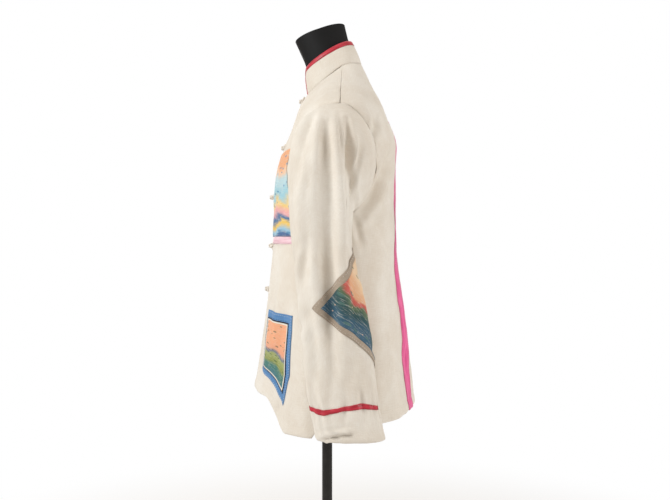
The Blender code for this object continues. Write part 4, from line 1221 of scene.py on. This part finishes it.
def frontPlace(panel, offset, height, lift):
    # A point over the front, at a distance from the centre line and a height of the cloth.
    side = -1.0 if offset < 0.0 else 1.0
    rows, columns = panel.points.shape[:2]
    share = 0.0
    row = 0
    for _ in range(3):
        column = share * (columns - 1)
        k = min(columns - 2, int(column))
        line = panel.points[:, k, 2] + (panel.points[:, k + 1, 2] - panel.points[:, k, 2]) * (column - k)
        row = int(np.argmin(np.abs(line - height)))
        steps = np.linalg.norm(np.diff(panel.points[row], axis=0), axis=1)
        share = float(np.interp(abs(offset), np.concatenate([[0.0], np.cumsum(steps)]),
                                np.arange(columns))) / (columns - 1)
    column = share * (columns - 1)
    k = min(columns - 2, int(column))
    line = panel.points[:, k, 2] + (panel.points[:, k + 1, 2] - panel.points[:, k, 2]) * (column - k)
    value = float(np.interp(height, line, panel.rowValues))
    point, normal = panel.at(value, share)
    point = point + normal * lift
    if abs(offset) < 0.003:
        point[0] = side * abs(offset)
    return Vector(point)


def panelFor(offset):
    return leftFront if offset >= 0.0 else rightFront


def ballKnot(centre, number):
    # One cord wound over and under itself round a small core.
    core, strand = knots["radius"] - 2.0 * knots["strands"], knots["strands"]
    spin = number * 0.7
    path = []
    for k in range(144):
        t = math.tau * k / 144.0
        latitude = 1.12 * math.sin(4.0 * t)
        longitude = 3.0 * t + spin
        out = core + strand + 0.55 * strand * math.cos(8.0 * t + math.pi)
        path.append((centre.x + out * math.cos(latitude) * math.cos(longitude),
                     centre.y + out * math.sin(latitude),
                     centre.z + out * math.cos(latitude) * math.sin(longitude)))
    points, faces, maps = tube([path], strand, 7, closed=True)
    start = len(points)
    work = bmesh.new()
    bmesh.ops.create_icosphere(work, subdivisions=2, radius=core + strand * 0.4)
    work.verts.ensure_lookup_table()
    points = [np.array(p) for p in points] + [np.array(v.co + centre) for v in work.verts]
    maps = maps + [(v.co.x, v.co.z) for v in work.verts]
    faces = faces + [tuple(start + v.index for v in face.verts) for face in work.faces]
    work.free()
    return points, faces, maps


def curvedPath(points, steps=5):
    # A smooth path through points.
    path = []
    last = len(points) - 1
    for j in range(last):
        around = [np.array(points[min(last, max(0, j + k))]) for k in (-1, 0, 1, 2)]
        path += [cubic(*around, s / steps) for s in range(steps)]
    return path + [np.array(points[-1])]


lift, gap = knots["cord"] + knots["lift"], knots["cord"] + seamGap
loop = knots["radius"] + knots["cord"] + seamGap
for number, height in enumerate(knots["heights"], 1):
    near = loop + knots["cord"] + seamGap
    run = [near + (knots["reach"] - near) * k / 3.0 for k in range(4)]
    ends = [(knots["reach"] + gap * math.sin(a), gap * math.cos(a))
            for a in (math.pi * 0.2, math.pi * 0.5, math.pi * 0.8)]
    leftPath = [(d, gap) for d in run] + ends + [(d, -gap) for d in reversed(run)]
    rightPath = [(-d, gap) for d in reversed(run)]
    rightPath += [(-loop * math.cos(a), loop * math.sin(a))
                  for a in (math.pi * (0.17 + 0.138 * k) for k in range(13))]
    rightPath += [(-d, -gap) for d in run]
    for side, path in (("left", leftPath), ("right", rightPath)):
        places = [frontPlace(panelFor(d), d, height + up, lift) for d, up in path]
        piece = meshFrom(f"cord_{side}_{number}", *tube([curvedPath(places)], knots["cord"], 10), cordLook)
        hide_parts(f"frog_{side}_{number}")
    centre = frontPlace(leftFront, 0.0, height, knots["radius"] + knots["lift"])
    piece = meshFrom(f"ball_knot_{number}", *ballKnot(centre, number), cordLook)
    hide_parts(f"frog_knot_{number}")
print("knots tied")

# The dress form and its stand

formRows = tuple(Ring(*row) for row in (
    (0.605, 0.605, 0.605, -0.082, 0.100, 0.012, 0.150, 2.2, 2.2, 1.0, 1.0, 0.0),
    (0.625, 0.625, 0.625, -0.094, 0.116, 0.012, 0.164, 2.2, 2.2, 1.0, 1.0, 0.0),
    (0.700, 0.700, 0.700, -0.098, 0.124, 0.012, 0.172, 2.2, 2.2, 1.0, 1.0, 0.0),
    (0.800, 0.800, 0.800, -0.086, 0.106, 0.012, 0.148, 2.2, 2.2, 1.0, 1.0, 0.0),
    (0.860, 0.860, 0.860, -0.082, 0.100, 0.012, 0.138, 2.2, 2.2, 1.0, 1.0, 0.0),
    (0.940, 0.940, 0.940, -0.095, 0.110, 0.014, 0.152, 2.2, 2.2, 1.0, 1.0, 0.0),
    (1.040, 1.034, 1.042, -0.096, 0.126, 0.018, 0.170, 2.2, 2.2, 1.5, 1.5, 0.0),
    (1.110, 1.095, 1.106, -0.082, 0.131, 0.023, 0.182, 2.3, 2.3, 2.0, 2.0, 0.0),
))
neckRows = tuple(Ring(*row) for row in (
    (1.296, 1.266, 1.325, -0.0415, 0.0490, 0.005, 0.0515, 2.0, 2.0, 1.0, 1.0, 0.0),
    (1.3475, 1.3315, 1.3675, -0.0690, 0.0380, -0.0155, 0.0480, 2.0, 2.0, 1.0, 1.0, 0.0),
))


def formSurface():
    # Over the shoulders the form keeps the jacket's own shape, a little inside it.
    turns = [k / 48.0 for k in range(49)]
    halves = [[ringPoint(row, t) for t in turns] for row in formRows]
    for level in (shoulder, 1.174, 1.192, 1.212, 1.232, 1.248, neck):
        share = (level - shoulder) / (neck - shoulder)
        clear = wall + 0.0012 + 0.0040 * smooth(share)
        halves.append([sunkPoint(turn, level, clear) for turn in turns])
    halves += [[ringPoint(row, t) for t in turns] for row in neckRows]
    rings = []
    for half in halves:
        half[0].x = half[-1].x = 0.0
        rings.append(half + [Vector((-p.x, p.y, p.z)) for p in reversed(half[1:-1])])
    rings = np.array(rings)
    last = len(rings) - 1
    rows = []
    for j in range(last):
        steps = 3 if j >= len(formRows) else 5
        around = [rings[min(last, max(0, j + k))] for k in (-1, 0, 1, 2)]
        rows += [cubic(*around, s / steps) for s in range(steps)]
    rows.append(rings[-1])
    return np.array(rows)


def cappedBody(name, rows, finish, rim):
    # A closed body through rings, whose two ends are flat with a small round edge.
    capped = []
    for ring in (rows[0], rows[-1]):
        centre = ring.mean(axis=0)
        capped.append([centre + (ring - centre) * share for share in (0.02, 0.45, 1.0 - rim)])
    rings = capped[0] + list(rows) + capped[1][::-1]
    count = len(rings[0])
    points = np.concatenate(rings)
    faces = []
    for j in range(len(rings) - 1):
        for k in range(count):
            n = (k + 1) % count
            faces.append((j * count + k, j * count + n, (j + 1) * count + n, (j + 1) * count + k))
    faces.append(tuple(range(count)))
    faces.append(tuple((len(rings) - 1) * count + k for k in range(count)))
    piece = meshFrom(name, points, faces, points[:, (0, 2)], finish)
    for polygon in piece.data.polygons:
        polygon.use_smooth = len(polygon.vertices) <= 4
    piece.data.set_sharp_from_angle(angle=0.7)
    return piece


formPiece = cappedBody("dress_form", formSurface(), blackJersey, 0.02)
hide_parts("form")


def turned(name, profile, sides, finish, node):
    # A round piece of metal, turned from its (radius, height) profile about the pole's axis.
    points = [(r * math.cos(math.tau * k / sides), r * math.sin(math.tau * k / sides), z)
              for r, z in profile for k in range(sides)]
    faces = []
    for j in range(len(profile) - 1):
        for k in range(sides):
            n = (k + 1) % sides
            faces.append((j * sides + k, j * sides + n, (j + 1) * sides + n, (j + 1) * sides + k))
    faces.append(tuple(range(sides)))
    faces.append(tuple((len(profile) - 1) * sides + k for k in range(sides)))
    piece = meshFrom(name, points, faces, [(p[0], p[2]) for p in points], finish)
    piece.data.set_sharp_from_angle(angle=0.6)
    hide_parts(node)
    return piece


def roundedEdge(radius, height, size, inward, steps=6):
    # A quarter round from a vertical side to a flat top, or up from a flat foot.
    arc = [(radius - size + size * math.cos(a), height - size + size * math.sin(a))
           for a in np.linspace(0.0, math.pi / 2.0, steps)]
    return arc if inward else [(r, 2.0 * height - z) for r, z in reversed(arc)]


stand = {"base": 0.165, "thickness": 0.008, "hub": 0.024, "hubTop": 0.053, "pole": 0.011,
         "poleTop": 0.6047}
baseProfile = [(0.020, 0.0)] + roundedEdge(stand["base"], 0.0, 0.0012, False)
baseProfile += roundedEdge(stand["base"], stand["thickness"], 0.0030, True)
baseProfile += [(0.060, stand["thickness"]), (0.020, stand["thickness"])]
turned("stand_base", baseProfile, 96, blackCoat, "base")
hubProfile = [(0.012, stand["thickness"] + seamGap), (stand["hub"], stand["thickness"] + seamGap)]
hubProfile += roundedEdge(stand["hub"], stand["hubTop"], 0.0035, True) + [(0.012, stand["hubTop"])]
turned("stand_hub", hubProfile, 48, blackCoat, "hub")
turned("stand_pole", [(stand["pole"], stand["hubTop"] + seamGap), (stand["pole"], 0.200),
                      (stand["pole"], 0.400), (stand["pole"], stand["poleTop"])], 40, blackCoat, "pole")
print("form and stand ready")

# Sewing

sewing = {"seamInset": 0.0055, "armholeInset": 0.004, "sleeveSeam": 286.0 / 360.0}


def rowAt(surface, distances, wanted):
    # For each column, the row value where a distance along the cloth is reached.
    return np.array([np.interp(wanted, distances[:, k], surface.rowValues)
                     for k in range(surface.points.shape[1])])


def besideEdge(surface, edge):
    # A line that follows a side edge of a panel at the seam's inset.
    last = surface.points.shape[1] - 1.0
    share = []
    for row in edge:
        order = np.argsort(row)
        share.append(np.interp(sewing["seamInset"], row[order], order / last))
    return sewnLine(surface, surface.rowValues, np.array(share), 0.0)


hemLines, seamLines = [], []
for name, surface in panels.items():
    first, last, low, _ = edgeDistances(surface)
    columns = surface.points.shape[1]
    hemLines.append(sewnLine(surface, rowAt(surface, low, hemWidth),
                             np.arange(columns) / (columns - 1.0), 0.0))
    for edge in (first, last) if name == "back" else (last,):
        seamLines.append(besideEdge(surface, edge))
for surface in sleeves.values():
    columns = surface.points.shape[1]
    up, low = heightsOf(surface)
    ring = np.arange(columns + 1) / columns
    row = rowAt(surface, -low, -cuff["turnUp"])
    hemLines.append(sewnLine(surface, np.append(row, row[0]), ring, 0.0))
    row = rowAt(surface, up, sewing["armholeInset"])
    seamLines.append(sewnLine(surface, np.append(row, row[0]), ring, 0.0))
    # The seam down the back of the sleeve, from the armhole to the cuff.
    place = np.linspace(0.2, 16.9, 160)
    seamLines.append(sewnLine(surface, place, np.full(160, sewing["sleeveSeam"]), 0.0))

stitches("hem_stitches", hemLines, threadLook)
stitches("seam_stitches", seamLines, threadLook, 0.0026, 0.0012, 0.00024)
stitches("collar_stitches", collarLines, threadLook, 0.0024, 0.0012, 0.00024)
stitches("patch_stitches", patchLines, threadLook, 0.0030, 0.0020, 0.00026)
stitches("pocket_picture_stitches", darkLines, darkThread, 0.0034, 0.0022, 0.00036)
stitches("strap_stitches", strapLines, redThread, 0.0024, 0.0012, 0.00022)
# Thick, close dark red stitches at the strap ends: painted shade where the ribbon turns round the sleeve.
stitches("strap_end_painted_shade_stitches", strapEndShadeStitches, redThread, 0.0018, 0.0006, 0.00036)
stitches("binding_stitches", bindingLines, redThread, 0.0024, 0.0012, 0.00022)
stitches("tape_stitches", tapeLines, pinkThread, 0.0026, 0.0014, 0.00022)
print("sewing done")

for side in ("left", "right"):
    "cloth_front_" + side


# Stage, light and camera

shot = {"distance": 1.51, "across": 0.017, "height": 0.88, "focal": 694.0, "width": 670.0}


def setCamera():
    camera = bpy.data.cameras.new("camera")
    camera.sensor_width = 36.0
    camera.lens = 36.0 * shot["focal"] / shot["width"]
    camera.clip_start = 0.05
    holder = bpy.data.objects.new("camera", camera)
    holder.location = (shot["distance"], shot["across"], shot["height"])
    holder.rotation_euler = (math.pi / 2.0, 0.0, math.pi / 2.0)
    bpy.context.scene.collection.objects.link(holder)
    bpy.context.scene.camera = holder


lightSet = {
    "ambient": 0.45, "ambientTint": (1.0, 0.945, 0.875),
    "lamps": (("key", (1.3, -2.0, 1.8), (0.0, 0.0, 0.95), (1.0, 1.0), 42.0, (0.94, 0.975, 1.0)),
              ("fill", (1.0, 2.5, 1.3), (0.0, 0.0, 0.9), (1.2, 1.2), 32.0, (0.96, 0.98, 1.0)),
              ("top", (0.5, 0.0, 3.2), (0.0, 0.0, 1.0), (1.8, 1.8), 10.0, (1.0, 0.98, 0.95)),
              ("back", (-2.4, -0.4, 1.8), (0.0, 0.0, 0.9), (1.8, 1.8), 26.0, (1.0, 0.98, 0.96)))}


def areaLight(name, place, aim, size, power, tint):
    lamp = bpy.data.lights.new(name, "AREA")
    lamp.color = tint
    lamp.shape = "RECTANGLE"
    lamp.size, lamp.size_y = size
    lamp.energy = power
    holder = bpy.data.objects.new(name, lamp)
    holder.location = place
    holder.rotation_euler = (Vector(aim) - Vector(place)).to_track_quat("-Z", "Y").to_euler()
    bpy.context.scene.collection.objects.link(holder)


def setStage():
    finish = Finish("pale_floor", "floor")
    x, y, _ = finish.parts(finish.space())
    radius = (x * x + y * y) ** 0.5
    fade = finish.ramp(radius, 0.55, 1.55)
    glow = finish.add("ShaderNodeEmission", {}, {"Color": (1.0, 1.0, 1.0, 1.0), "Strength": 1.0})
    finish.set(colour=rgb(237, 235, 233), roughness=0.9, specular=0.1)
    surface = Value(finish, finish.shader.outputs[0])
    shown = finish.add("ShaderNodeMixShader", {}, {0: fade, 1: surface, 2: glow})
    output = finish.tree.nodes["Material Output"]
    finish.put(output.inputs["Surface"], shown)
    work = bmesh.new()
    bmesh.ops.create_circle(work, cap_ends=True, radius=1.6, segments=96)
    mesh = bpy.data.meshes.new("floor")
    work.to_mesh(mesh)
    work.free()
    floor = bpy.data.objects.new("floor", mesh)
    floor.location.z = -0.0005
    mesh.materials.append(finish.material)
    bpy.context.scene.collection.objects.link(floor)


def setLight():
    world = bpy.data.worlds.new("studio")
    world.use_nodes = True
    tree = world.node_tree
    background = tree.nodes["Background"]
    path = tree.nodes.new("ShaderNodeLightPath")
    seen = tree.nodes.new("ShaderNodeMix")
    seen.data_type = "RGBA"
    seen.inputs[6].default_value = tuple(c * lightSet["ambient"] for c in lightSet["ambientTint"]) + (1.0,)
    seen.inputs[7].default_value = (1.0, 1.0, 1.0, 1.0)    # the white surround
    tree.links.new(path.outputs["Is Camera Ray"], seen.inputs[0])
    tree.links.new(seen.outputs[2], background.inputs["Color"])
    bpy.context.scene.world = world
    for name, place, aim, size, power, tint in lightSet["lamps"]:
        areaLight(name, place, aim, size, power, tint)
    bpy.context.scene.view_settings.view_transform = "Standard"


setCamera()
setStage()
setLight()
